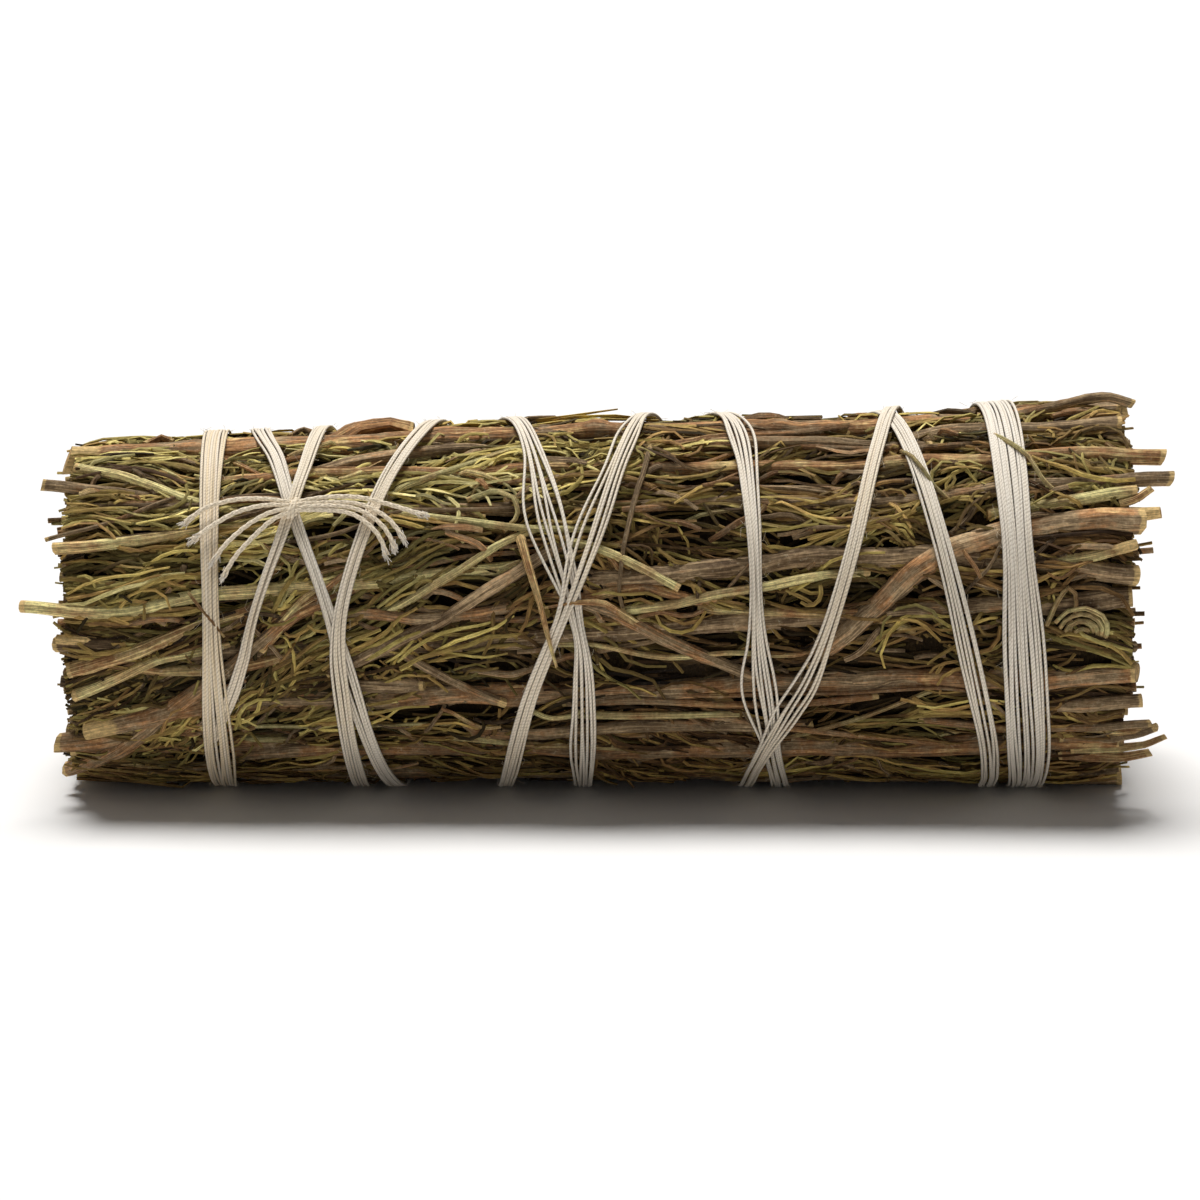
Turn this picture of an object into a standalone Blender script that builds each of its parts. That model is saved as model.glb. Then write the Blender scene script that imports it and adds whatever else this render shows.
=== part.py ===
"""Smudge stick: a bundle of dried woody stems and leafy sprigs, bound with a hank of cotton thread.

Metres throughout. +X runs along the bundle, +Z is up, and the bundle lies on its thread at z = 0.
Angles round the bundle start at the front (-Y, 0 degrees), rise over the top (90) and pass the back (180).
"""

import math
from dataclasses import dataclass

import bmesh
import bpy
from mathutils import Matrix, Vector

MM = 0.001

# The bundle's outside radius at stations along X, in mm: slimmer at the left, flaring at the right.
ENVELOPE_MM = ((-54, 15.9), (-36, 16.3), (-10, 16.9), (5, 17.2), (27, 17.2), (40, 17.8), (54, 18.3))
MEAN_RADIUS = 17.0 * MM

THREAD_THICK = 0.35 * MM  # the hank's threads lie side by side, one thread thick
THREAD_GAP = 0.3 * MM  # clear space under the thread
STEM_GAP = 0.3 * MM  # clear space between a stem and its neighbour
STEM_BASE = THREAD_THICK + THREAD_GAP  # the lowest stems' height over the surface

FOOT_DEG = 15.0  # the two lowest stems lie this far to either side of straight down
FOOT_RADIUS = 1.2 * MM
STEM_BEVEL_RESOLUTION = 2  # gives a round stem 8 sides
STATION_STEP = 12.5 * MM  # the length of one straight run of an outer stem or sprig

SPRIG_SIDES = 8
SPRIG_INSET = 0.1 * MM  # an outer sprig lies this far inside the envelope
SPRIG_THICK = 1.25 * MM  # half the thickness of an outer sprig
LOWEST_SPRIG_INSET = 0.7 * MM  # the sprig between the two lowest stems clears the taut thread
LOWEST_SPRIG_THICK = 0.9 * MM
OUTER_SPRIG_ENDS_MM = (-48.4, 48.6)
END_JITTER = 0.6 * MM  # sprigs and hidden stems are cut unevenly, by this much
PHASE_STEP = 2.4  # radians from one sprig's swelling to the next's


@dataclass(frozen=True)
class OuterStem:
    """A stem of the outer ring: its angles and radii (mm) at the bundle's ends, and its own ends (mm)."""

    left_deg: float
    right_deg: float
    left_r: float
    right_r: float
    x0: float
    x1: float


# In order round the bundle, from the front foot over the top to the back foot.
OUTER_STEMS = (
    OuterStem(-75, -75, 1.2, 1.2, -49.5, 49.6),
    OuterStem(-48, -44, 1.2, 1.1, -49.2, 49.0),
    OuterStem(-28, -14, 0.9, 1.05, -49.9, 49.9),
    OuterStem(-6, 10, 0.85, 1.0, -48.6, 49.3),
    OuterStem(16, 33, 0.65, 1.25, -53.2, 51.6),
    OuterStem(40, 49, 0.75, 0.85, -50.2, 53.2),
    OuterStem(62, 66, 0.6, 0.95, -51.5, 52.1),
    OuterStem(88, 90, 1.25, 1.1, -48.7, 49.2),
    OuterStem(115, 112, 1.0, 1.1, -49.2, 50.3),
    OuterStem(142, 138, 1.2, 1.0, -50.0, 49.5),
    OuterStem(168, 170, 0.9, 1.1, -49.0, 49.9),
    OuterStem(196, 194, 1.1, 1.2, -49.6, 48.8),
    OuterStem(224, 226, 1.05, 0.9, -48.8, 50.6),
    OuterStem(255, 255, 1.2, 1.2, -49.4, 49.7),
)
SPLIT_LANE = 4  # this lane holds two stems, end to end
SPLIT_ENDS_MM = (-6.0, -1.0)  # where its left stem ends and its right stem starts


@dataclass(frozen=True)
class InnerRing:
    """A ring of stems with sprigs between them, hidden but for its cut ends. Sizes are in mm."""

    count: int
    centre: float
    stem_r: float
    sprig_thick: float
    first_deg: float
    twist_deg: float


INNER_RINGS = (
    InnerRing(6, 11.9, 1.35, 2.1, 12.0, 6.0),
    InnerRing(4, 7.2, 1.4, 2.1, 30.0, -5.0),
)
CORE_COUNT = 3
CORE_CENTRE = 2.3 * MM
CORE_R = 1.6 * MM
INNER_HALF_LENGTH = 49.0 * MM

LACING_WIDTH = 1.7 * MM
LACING_STEP_DEG = 12.0
LAYER = THREAD_THICK + THREAD_GAP  # how far the returning lacing rides over the first
LAYER_RAMP_DEG = (16.0, 32.0)  # from straight down: it comes down beside the first where the bundle rests
# Where the hank crosses, as (angle, X in mm). It goes out along the bundle, turn by turn.
LACING_OUT = (
    (200, -33.0), (90, -31.6), (66, -29.7), (44, -28.2), (5, -24.2), (-66, -19.2), (-114, -17.4),
    (-270, -7.4), (-307, -5.2), (-348, -2.3), (-364, -1.3), (-426, -1.25), (-474, -0.6),
    (-630, 12.5), (-685, 14.4), (-724, 14.9), (-755, 16.1), (-786, 17.3), (-834, 17.9),
    (-990, 27.5), (-1040, 30.9), (-1077, 33.7), (-1116, 36.2), (-1140, 36.9),
)
# Then it comes back over itself.
LACING_BACK = (
    (235, 34.8), (90, 27.5), (53, 25.3), (25, 23.5), (-13, 19.6), (-35, 16.1), (-50, 14.8), (-66, 14.2),
    (-114, 13.2), (-270, 4.0), (-303, 1.7), (-348, -2.6), (-381, -6.4), (-426, -8.5), (-474, -9.2),
    (-630, -15.9), (-677, -20.7), (-714, -23.8), (-742, -23.3), (-786, -22.3), (-834, -22.2),
    (-990, -26.1), (-1034, -28.1), (-1074, -31.9), (-1096, -33.0),
)

BAND_STEP_DEG = 7.5
LEFT_BAND_WIDTH = 2.4 * MM
RIGHT_BAND_WIDTH = 4.0 * MM

KNOT_DEG = 46.0
KNOT_X = -28.1 * MM
KNOT_HEIGHT = 2.3 * MM  # its middle's height over the envelope
KNOT_HALF_SIZE = (1.3 * MM, 1.15 * MM, 0.8 * MM)  # along the bundle, round it, and outwards
KNOT_SEGMENTS, KNOT_RINGS = 10, 7
TAIL_R = 0.2 * MM
TAIL_SIDES = 6
TAIL_RUNS = 6
# The hank's cut ends, each as (X, angle, height over the envelope) from inside the knot to its tip, in mm.
TAILS = (
    ((-28.5, 48.6, 2.2), (-32.0, 48.4, 1.9), (-35.0, 45.8, 1.3), (-38.0, 37.9, 1.1)),
    ((-28.5, 46.9, 2.2), (-31.8, 44.3, 1.9), (-34.6, 39.0, 1.3), (-37.3, 31.6, 1.1)),
    ((-28.5, 45.1, 2.2), (-31.2, 39.8, 1.9), (-33.6, 33.7, 1.4), (-35.4, 24.0, 1.2)),
    ((-28.5, 43.4, 2.2), (-30.9, 36.5, 1.9), (-32.9, 29.3, 1.5), (-34.4, 19.5, 1.2)),
    ((-27.7, 48.6, 2.2), (-22.5, 47.6, 1.8), (-18.3, 42.6, 1.8), (-15.9, 37.6, 1.6)),
    ((-27.7, 46.9, 2.2), (-22.6, 45.7, 1.8), (-19.2, 39.0, 1.8), (-17.2, 29.0, 1.5)),
    ((-27.7, 45.1, 2.2), (-22.9, 43.7, 1.8), (-20.2, 37.2, 1.8), (-18.5, 26.5, 1.5)),
    ((-27.7, 43.4, 2.2), (-23.3, 41.6, 1.8), (-21.2, 35.2, 1.8), (-19.9, 25.2, 1.5)),
)

COLOURS = {
    "bark": (0.19, 0.135, 0.085, 1.0),
    "foliage": (0.22, 0.20, 0.075, 1.0),
    "thread": (0.70, 0.64, 0.54, 1.0),
}
ROUGHNESS = 0.9


def smoothstep(value):
    """0 to 1, level at both ends."""
    clipped = min(1.0, max(0.0, value))
    return clipped * clipped * (3 - 2 * clipped)


def envelope(x):
    """The bundle's outside radius at x."""
    stations_mm = list(zip(ENVELOPE_MM, ENVELOPE_MM[1:]))
    for (x0, r0), (x1, r1) in stations_mm:
        if x / MM <= x1:
            return (r0 + (r1 - r0) * smoothstep((x / MM - x0) / (x1 - x0))) * MM
    return ENVELOPE_MM[-1][1] * MM


def smooth_curve(table, at):
    """The value at a place in a table of (place, value), on one smooth curve through its entries."""
    last = len(table) - 1
    index = next((i for i in range(last) if at <= table[i + 1][0]), last - 1)
    (x0, y0), (x1, y1) = table[index], table[index + 1]
    before, after = table[max(0, index - 1)], table[min(last, index + 2)]
    slope0 = (y1 - before[1]) / (x1 - before[0])
    slope1 = (after[1] - y0) / (after[0] - x0)
    span = x1 - x0
    t = (at - x0) / span
    start = (2 * t**3 - 3 * t**2 + 1) * y0 + (t**3 - 2 * t**2 + t) * span * slope0
    end = (3 * t**2 - 2 * t**3) * y1 + (t**3 - t**2) * span * slope1
    return start + end


def foot_drop(x):
    """How far the two lowest stems reach below the bundle's axis."""
    return (envelope(x) - FOOT_RADIUS) * math.cos(math.radians(FOOT_DEG)) + FOOT_RADIUS


def place(x, degrees, rho):
    """A point at a distance from the bundle's axis and an angle round it."""
    angle = math.radians(degrees)
    axis_height = STEM_BASE + foot_drop(x)
    return Vector((x, -rho * math.cos(angle), axis_height + rho * math.sin(angle)))


def from_straight_down(degrees):
    """The angle between a direction and straight down, 0 to 180."""
    return abs((degrees + 90 + 180) % 360 - 180)


def spread(x0, x1, step):
    """Places from x0 to x1, about one step apart."""
    count = max(2, round((x1 - x0) / step))
    return [x0 + (x1 - x0) * i / count for i in range(count + 1)]


def numbered(word):
    """The names word_01, word_02 and so on."""
    number = 0
    while True:
        number += 1
        yield f"{word}_{number:02d}"


def material(kind):
    """The material of one kind of piece, made once."""
    made = bpy.data.materials.get(kind)
    if made is None:
        made = bpy.data.materials.new(kind)
        made.use_nodes = True
        shader = made.node_tree.nodes["Principled BSDF"]
        shader.inputs["Base Color"].default_value = COLOURS[kind]
        shader.inputs["Roughness"].default_value = ROUGHNESS
    return made


def add_object(name, data, kind):
    """Links an object that holds this curve or mesh, with its material."""
    made = bpy.data.objects.new(name, data)
    data.materials.append(material(kind))
    bpy.context.scene.collection.objects.link(made)
    return made


def loft_into(bm, rings, closed=False):
    """Adds a skin over rings of points, capped unless it closes on itself."""
    loops = [[bm.verts.new(point) for point in ring] for ring in rings]
    pairs = list(zip(loops, loops[1:]))
    if closed:
        pairs.append((loops[-1], loops[0]))
    else:
        bm.faces.new(loops[0])
        bm.faces.new(loops[-1])
    for first, second in pairs:
        for i in range(len(first)):
            j = (i + 1) % len(first)
            bm.faces.new((first[i], first[j], second[j], second[i]))


def add_mesh(name, bm, kind):
    """Turns a bmesh into an object, its faces outwards and its round sides shaded smooth."""
    bmesh.ops.recalc_face_normals(bm, faces=bm.faces[:])
    mesh = bpy.data.meshes.new(name)
    bm.to_mesh(mesh)
    bm.free()
    mesh.shade_smooth()
    mesh.set_sharp_from_angle(angle=math.radians(50))
    return add_object(name, mesh, kind)


def add_loft(name, rings, kind, closed=False):
    """One solid through rings of points."""
    bm = bmesh.new()
    loft_into(bm, rings, closed)
    return add_mesh(name, bm, kind)


def add_stem(name, points, radii):
    """A woody stem: a bevelled curve through points, with its own radius at each."""
    curve = bpy.data.curves.new(name, "CURVE")
    curve.dimensions = "3D"
    curve.bevel_depth = 1.0
    curve.bevel_resolution = STEM_BEVEL_RESOLUTION
    curve.use_fill_caps = True
    spline = curve.splines.new("POLY")
    spline.points.add(len(points) - 1)
    for target, point, radius in zip(spline.points, points, radii):
        target.co = (*point, 1.0)
        target.radius = radius
    spline.use_smooth = True
    return add_object(name, curve, "bark")


def along_bundle(x):
    """How far along the bundle x is, 0 at the left end and 1 at the right."""
    left, right = ENVELOPE_MM[0][0] * MM, ENVELOPE_MM[-1][0] * MM
    return (x - left) / (right - left)


def outer_angle(stem, x):
    """An outer stem's angle at x, in degrees."""
    return stem.left_deg + (stem.right_deg - stem.left_deg) * smoothstep(along_bundle(x))


def outer_radius(stem, x):
    """An outer stem's own radius at x."""
    return (stem.left_r + (stem.right_r - stem.left_r) * along_bundle(x)) * MM


def add_outer_stem(name, stem, x0_mm, x1_mm):
    """One stem of the outer ring, lying against the envelope."""
    xs = spread(x0_mm * MM, x1_mm * MM, STATION_STEP)
    radii = [outer_radius(stem, x) for x in xs]
    points = [place(x, outer_angle(stem, x), envelope(x) - r) for x, r in zip(xs, radii)]
    return add_stem(name, points, radii)


def sprig_ring(x, degrees, centre, half_width, half_thick):
    """A sprig's cross-section: an oval that bends round the bundle."""
    ring = []
    for i in range(SPRIG_SIDES):
        turn = 2 * math.pi * (i + 0.5) / SPRIG_SIDES
        offset = math.degrees(half_width * math.sin(turn) / centre)
        ring.append(place(x, degrees + offset, centre + half_thick * math.cos(turn)))
    return ring


def fullness(x, x0, x1, phase):
    """A sprig thins at its two ends, and swells and pinches between them."""
    share = (x - x0) / (x1 - x0)
    ends = 0.72 + 0.28 * smoothstep(6 * min(share, 1 - share))
    return ends * (0.93 + 0.07 * math.sin(5 * math.pi * share + phase))


def add_outer_sprig(name, first, second, phase, inset, half_thick):
    """A leafy sprig that fills the gap between two outer stems."""
    x0 = OUTER_SPRIG_ENDS_MM[0] * MM - END_JITTER * math.sin(phase)
    x1 = OUTER_SPRIG_ENDS_MM[1] * MM + END_JITTER * math.cos(phase)
    rings = []
    for x in spread(x0, x1, STATION_STEP):
        full = fullness(x, x0, x1, phase)
        centre = envelope(x) - half_thick - inset
        low = outer_angle(first, x) + math.degrees((outer_radius(first, x) + STEM_GAP) / centre)
        high = outer_angle(second, x) - math.degrees((outer_radius(second, x) + STEM_GAP) / centre)
        half_width = math.radians(high - low) / 2 * centre * full
        rings.append(sprig_ring(x, (low + high) / 2, centre, half_width, half_thick * full))
    return add_loft(name, rings, "foliage")


def add_outer_ring():
    """The stems and sprigs that the thread touches."""
    stem_names, sprig_names = numbered("woody_stem"), numbered("leafy_sprig")
    for lane, stem in enumerate(OUTER_STEMS):
        if lane == SPLIT_LANE:
            add_outer_stem(next(stem_names), stem, stem.x0, SPLIT_ENDS_MM[0])
            add_outer_stem(next(stem_names), stem, SPLIT_ENDS_MM[1], stem.x1)
        else:
            add_outer_stem(next(stem_names), stem, stem.x0, stem.x1)
    for lane, (first, second) in enumerate(zip(OUTER_STEMS, OUTER_STEMS[1:])):
        add_outer_sprig(next(sprig_names), first, second, lane * PHASE_STEP, SPRIG_INSET, SPRIG_THICK)
    back_foot, front_foot = OUTER_STEMS[-1], OUTER_STEMS[0]
    turned = OuterStem(
        front_foot.left_deg + 360,
        front_foot.right_deg + 360,
        front_foot.left_r,
        front_foot.right_r,
        front_foot.x0,
        front_foot.x1,
    )
    add_outer_sprig(
        next(sprig_names), back_foot, turned, PHASE_STEP / 2, LOWEST_SPRIG_INSET, LOWEST_SPRIG_THICK
    )


def add_inner_ring(ring, stem_names, sprig_names):
    """The stems and sprigs of one inner ring, by turns."""
    pitch = 360 / ring.count
    for i in range(ring.count):
        phase = i * PHASE_STEP
        x0 = -INNER_HALF_LENGTH - END_JITTER * math.sin(phase)
        x1 = INNER_HALF_LENGTH + END_JITTER * math.cos(phase)
        xs = spread(x0, x1, 2 * STATION_STEP)
        stem_points, rings = [], []
        for x in xs:
            scale = envelope(x) / MEAN_RADIUS
            centre = ring.centre * MM * scale
            degrees = ring.first_deg + i * pitch + ring.twist_deg * x / INNER_HALF_LENGTH
            stem_points.append(place(x, degrees, centre))
            full = fullness(x, x0, x1, phase)
            half_width = math.radians(pitch / 2) * centre - ring.stem_r * MM - STEM_GAP
            half_thick = ring.sprig_thick * MM * scale
            rings.append(sprig_ring(x, degrees + pitch / 2, centre, half_width * full, half_thick * full))
        add_stem(next(stem_names), stem_points, [ring.stem_r * MM] * len(xs))
        add_loft(next(sprig_names), rings, "foliage")


def add_core(stem_names):
    """The middle stems."""
    for i in range(CORE_COUNT):
        degrees = 90 + 360 / CORE_COUNT * i
        xs = spread(-INNER_HALF_LENGTH, INNER_HALF_LENGTH, 2 * STATION_STEP)
        points = [place(x, degrees, CORE_CENTRE) for x in xs]
        add_stem(next(stem_names), points, [CORE_R] * len(xs))


def hank_ring(x, degrees, width, lift):
    """The hank's flat cross-section. It is pulled tight: round the stems, and straight between the feet."""
    off = THREAD_GAP + THREAD_THICK / 2
    down = from_straight_down(degrees)
    ramp_start, ramp_end = LAYER_RAMP_DEG
    rho = envelope(x) + off + lift * smoothstep((down - ramp_start) / (ramp_end - ramp_start))
    half_thick = THREAD_THICK / 2
    if down < FOOT_DEG:
        slant = math.cos(math.radians(down))
        rho = min(rho, (foot_drop(x) + off) / slant)
        half_thick /= slant
    ring = []
    for side, out in ((-1, -1), (1, -1), (1, 1), (-1, 1)):
        point = place(x, degrees, rho + half_thick * out)
        ring.append(point + Vector((side * width / 2, 0, 0)))
    return ring


def add_lacing(name, route, lift):
    """A length of the hank that winds along the bundle through route's places."""
    table = [(-degrees, x_mm) for degrees, x_mm in route]
    start, end = table[0][0], table[-1][0]
    count = round((end - start) / LACING_STEP_DEG)
    rings = []
    for i in range(count + 1):
        turned = start + (end - start) * i / count
        rings.append(hank_ring(smooth_curve(table, turned) * MM, -turned, LACING_WIDTH, lift))
    return add_loft(name, rings, "thread")


def left_band_x(degrees):
    """The left band stands almost square to the bundle."""
    return (-35.5 - 0.4 * math.sin(math.radians(degrees))) * MM


def right_band_x(degrees):
    """The right band leans, its top further left than its bottom."""
    angle = math.radians(degrees)
    return (38.55 - 1.65 * math.sin(angle) + math.cos(angle)) * MM


def add_band(name, width, centre_x):
    """A closed band of the hank round one end."""
    count = round(360 / BAND_STEP_DEG)
    angles = [-90 + 360 * i / count for i in range(count)]
    rings = [hank_ring(centre_x(degrees), degrees, width, 0.0) for degrees in angles]
    return add_loft(name, rings, "thread", closed=True)


def tail_path(tail):
    """Points along one of the hank's cut ends."""
    last = len(tail) - 1
    tables = [[(i, entry[axis]) for i, entry in enumerate(tail)] for axis in range(3)]
    points = []
    for i in range(TAIL_RUNS + 1):
        x_mm, degrees, height_mm = (smooth_curve(table, last * i / TAIL_RUNS) for table in tables)
        points.append(place(x_mm * MM, degrees, envelope(x_mm * MM) + height_mm * MM))
    return points


def tube_rings(points):
    """Round cross-sections square to a path."""
    rings = []
    outwards = Vector((0, -math.cos(math.radians(KNOT_DEG)), math.sin(math.radians(KNOT_DEG))))
    for i, point in enumerate(points):
        along = (points[min(i + 1, len(points) - 1)] - points[max(i - 1, 0)]).normalized()
        side = along.cross(outwards).normalized()
        up = side.cross(along)
        turns = [2 * math.pi * k / TAIL_SIDES for k in range(TAIL_SIDES)]
        rings.append([point + TAIL_R * (side * math.cos(turn) + up * math.sin(turn)) for turn in turns])
    return rings


def add_knot():
    """The knot over the first crossing, with the hank's cut ends joined to it."""
    angle = math.radians(KNOT_DEG)
    middle = place(KNOT_X, KNOT_DEG, envelope(KNOT_X) + KNOT_HEIGHT)
    facing = Matrix.Rotation(math.pi / 2 - angle, 4, "X")
    stretch = Matrix.Diagonal((*KNOT_HALF_SIZE, 1.0))
    bm = bmesh.new()
    bmesh.ops.create_uvsphere(
        bm,
        u_segments=KNOT_SEGMENTS,
        v_segments=KNOT_RINGS,
        radius=1.0,
        matrix=Matrix.Translation(middle) @ facing @ stretch,
    )
    knot = add_mesh("thread_knot", bm, "thread")
    tails_bm = bmesh.new()
    for tail in TAILS:
        loft_into(tails_bm, tube_rings(tail_path(tail)))
    tails = add_mesh("thread_knot_tails", tails_bm, "thread")
    tails.hide_render = True
    tails.display_type = "WIRE"
    union = knot.modifiers.new("tails", "BOOLEAN")
    union.operation = "UNION"
    union.solver = "EXACT"
    union.object = tails


def centre_over_origin():
    """Shifts everything so that the bundle's box stands centred over the origin."""
    bpy.context.view_layer.update()
    depsgraph = bpy.context.evaluated_depsgraph_get()
    corners = []
    for made in bpy.context.scene.objects:
        if not made.hide_render:
            evaluated = made.evaluated_get(depsgraph).to_mesh()
            corners.extend(vertex.co.copy() for vertex in evaluated.vertices)
    middle_x = (min(c.x for c in corners) + max(c.x for c in corners)) / 2
    middle_y = (min(c.y for c in corners) + max(c.y for c in corners)) / 2
    for made in bpy.context.scene.objects:
        made.location -= Vector((middle_x, middle_y, 0))


for existing in list(bpy.data.objects):
    bpy.data.objects.remove(existing)

add_outer_ring()
inner_stem_names, inner_sprig_names = numbered("inner_stem"), numbered("inner_sprig")
for inner_ring in INNER_RINGS:
    add_inner_ring(inner_ring, inner_stem_names, inner_sprig_names)
add_core(inner_stem_names)
add_lacing("thread_lacing_out", LACING_OUT, 0.0)
add_lacing("thread_lacing_back", LACING_BACK, LAYER)
add_band("thread_band_left", LEFT_BAND_WIDTH, left_band_x)
add_band("thread_band_right", RIGHT_BAND_WIDTH, right_band_x)
add_knot()
centre_over_origin()
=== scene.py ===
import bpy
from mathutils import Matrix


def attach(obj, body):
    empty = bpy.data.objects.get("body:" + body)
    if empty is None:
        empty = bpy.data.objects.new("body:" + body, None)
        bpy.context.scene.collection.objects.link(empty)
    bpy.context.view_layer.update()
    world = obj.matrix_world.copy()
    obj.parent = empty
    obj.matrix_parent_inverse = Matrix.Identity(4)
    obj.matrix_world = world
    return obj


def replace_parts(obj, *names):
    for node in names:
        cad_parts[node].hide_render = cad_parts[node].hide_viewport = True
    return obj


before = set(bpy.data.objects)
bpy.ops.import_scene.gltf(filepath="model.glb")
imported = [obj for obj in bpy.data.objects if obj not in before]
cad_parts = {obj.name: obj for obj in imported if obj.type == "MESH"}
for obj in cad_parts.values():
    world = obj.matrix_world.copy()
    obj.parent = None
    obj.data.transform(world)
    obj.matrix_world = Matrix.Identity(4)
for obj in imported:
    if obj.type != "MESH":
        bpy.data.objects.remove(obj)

"""A smudge stick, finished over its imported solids.

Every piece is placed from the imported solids: stems follow the bars that they replace, and threads follow
the strips of the hank. Lengths here are in millimetres, and become metres when a mesh is made. Angles run
round the bundle from the front (0 degrees, -Y) over the top (90) to the back (180).
"""

import logging
import math
from dataclasses import dataclass, field
from enum import Enum

import bpy
import numpy as np
from mathutils import Vector

Array = np.ndarray
Rng = np.random.Generator
Socket = bpy.types.NodeSocket
Material = bpy.types.Material
Colour = tuple[float, float, float]
Places = tuple[tuple[float, float, float], ...]
Pairs = tuple[tuple[float, float], ...]

MM = 0.001
DEGREE = 0.3  # mm round the outside for each degree
UNDERSIDE = -90.0
FULL_TURN = 2 * math.pi
BODY = "root"
log = logging.getLogger("smudge_stick")


# ---- numbers


def smoothstep(value: Array) -> Array:
    """0 to 1, level at both ends."""
    clipped = np.clip(value, 0.0, 1.0)
    return clipped * clipped * (3 - 2 * clipped)


def bell(*offsets: Array) -> Array:
    """1 where all the offsets are 0, and less away from there."""
    return np.exp(-sum(offset**2 for offset in offsets))


def unit(vectors: Array) -> Array:
    """The same directions, one long."""
    return vectors / np.maximum(np.linalg.norm(vectors, axis=-1, keepdims=True), 1e-9)


def past(degrees: Array, other: float | Array) -> Array:
    """How far an angle is past another, from -180 to 180 degrees."""
    return (degrees - other + 180) % 360 - 180


def grain(across: Array, along: Array | float, seed: float, period: int = 0) -> Array:
    """Smooth random bumps from -1 to 1.

    Args:
        across: The first coordinate, one bump to a unit.
        along: The second coordinate.
        seed: Picks another pattern.
        period: How many units bring the first coordinate round to its start, or 0.

    Returns:
        The bumps' height at each place.
    """
    u0, v0 = np.floor(across), np.floor(along)
    fu, fv = smoothstep(across - u0), smoothstep(along - v0)

    def corner(du: int, dv: int) -> Array:
        """The random value at one corner of each unit square."""
        u = (u0 + du) % period if period else u0 + du
        mixed = np.sin(u * 127.1 + (v0 + dv) * 311.7 + seed * 74.7) * 43758.5453
        return (mixed - np.floor(mixed)) * 2 - 1

    low = corner(0, 0) * (1 - fu) + corner(1, 0) * fu
    high = corner(0, 1) * (1 - fu) + corner(1, 1) * fu
    return low * (1 - fv) + high * fv


@dataclass(frozen=True)
class Ripple:
    """Bumps round and along a tube.

    Attributes:
        depth: Their height.
        many: How many go round.
        change: How often they change, per mm along.
        seed: Their own pattern.
    """

    depth: float
    many: int
    change: float
    seed: float

    def at(self, around: Array, mm: Array, seed: float = 0.0) -> Array:
        """The bumps' height at shares of a turn and places along, in a pattern of the tube's own."""
        return self.depth * grain(around * self.many, mm * self.change, seed + self.seed, self.many)


def knot_lengths(knots: Array, degree: float) -> Array:
    """How far along a course each of its knots is.

    Args:
        knots: The knots, each with X and angle first.
        degree: The mm that a degree counts for.

    Returns:
        The length up to each knot.
    """
    steps = np.hypot(np.diff(knots[:, 0]), np.diff(knots[:, 1]) * degree)
    return np.concatenate([[0], np.cumsum(steps)])


def soft_curve(places: Array, values: Array, at: Array, soft: float = 0.035) -> Array:
    """Values at places along a line of knots, with its corners rounded.

    Args:
        places: Where the knots are along the line.
        values: The knots' values.
        at: Where values are wanted.
        soft: How far the rounding reaches, as a share of the line.

    Returns:
        The values.
    """
    pad = (places[-1] - places[0]) * soft
    first = (values[1] - values[0]) / max(places[1] - places[0], 1e-6)
    last = (values[-1] - values[-2]) / max(places[-1] - places[-2], 1e-6)
    places = np.concatenate([[places[0] - pad], places, [places[-1] + pad]])
    values = np.concatenate([[values[0] - first * pad], values, [values[-1] + last * pad]])
    total = sum(np.interp(at + pad * shift, places, values) for shift in (-1.0, -0.5, 0.0, 0.5, 1.0))
    return total / 5


# ---- the frame, measured


def nodes_called(start: str) -> list[str]:
    """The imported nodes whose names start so, in order."""
    return [name for name in sorted(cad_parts) if name.startswith(start)]


class Solid:
    """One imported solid, cut across to find where it runs."""

    SKIN = 0.3  # no square cut nearer than this to an end

    def __init__(self, node: str) -> None:
        """Reads the solid's vertices and edges.

        Args:
            node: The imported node's name.
        """
        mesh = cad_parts[node].data
        self.points = np.zeros(len(mesh.vertices) * 3)
        mesh.vertices.foreach_get("co", self.points)
        self.points = self.points.reshape(-1, 3) / MM
        edges = np.zeros(len(mesh.edges) * 2, int)
        mesh.edges.foreach_get("vertices", edges)
        self.edges = edges.reshape(-1, 2)

    @property
    def span(self) -> tuple[float, float]:
        """The lowest and highest X."""
        return float(self.points[:, 0].min()), float(self.points[:, 0].max())

    def crossings(self, height: Array) -> Array:
        """Points where the solid's edges cross a surface.

        Args:
            height: Each vertex's signed distance from the surface.

        Returns:
            The crossing points.
        """
        first, second = self.edges[:, 0], self.edges[:, 1]
        across = (height[first] < 0) != (height[second] < 0)
        a, b = first[across], second[across]
        share = (height[a] / (height[a] - height[b]))[:, None]
        return self.points[a] * (1 - share) + self.points[b] * share

    def section(self, x: float) -> tuple[Array, float]:
        """Cuts a bar square.

        Args:
            x: Where it is cut.

        Returns:
            The section's middle and radius.
        """
        low, high = self.span
        inside = min(max(x, low + self.SKIN), high - self.SKIN)
        cut = self.crossings(self.points[:, 0] - inside)[:, 1:]
        middle = (cut.min(0) + cut.max(0)) / 2
        return middle, float((cut.max(0) - cut.min(0)).mean() / 2)


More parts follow.
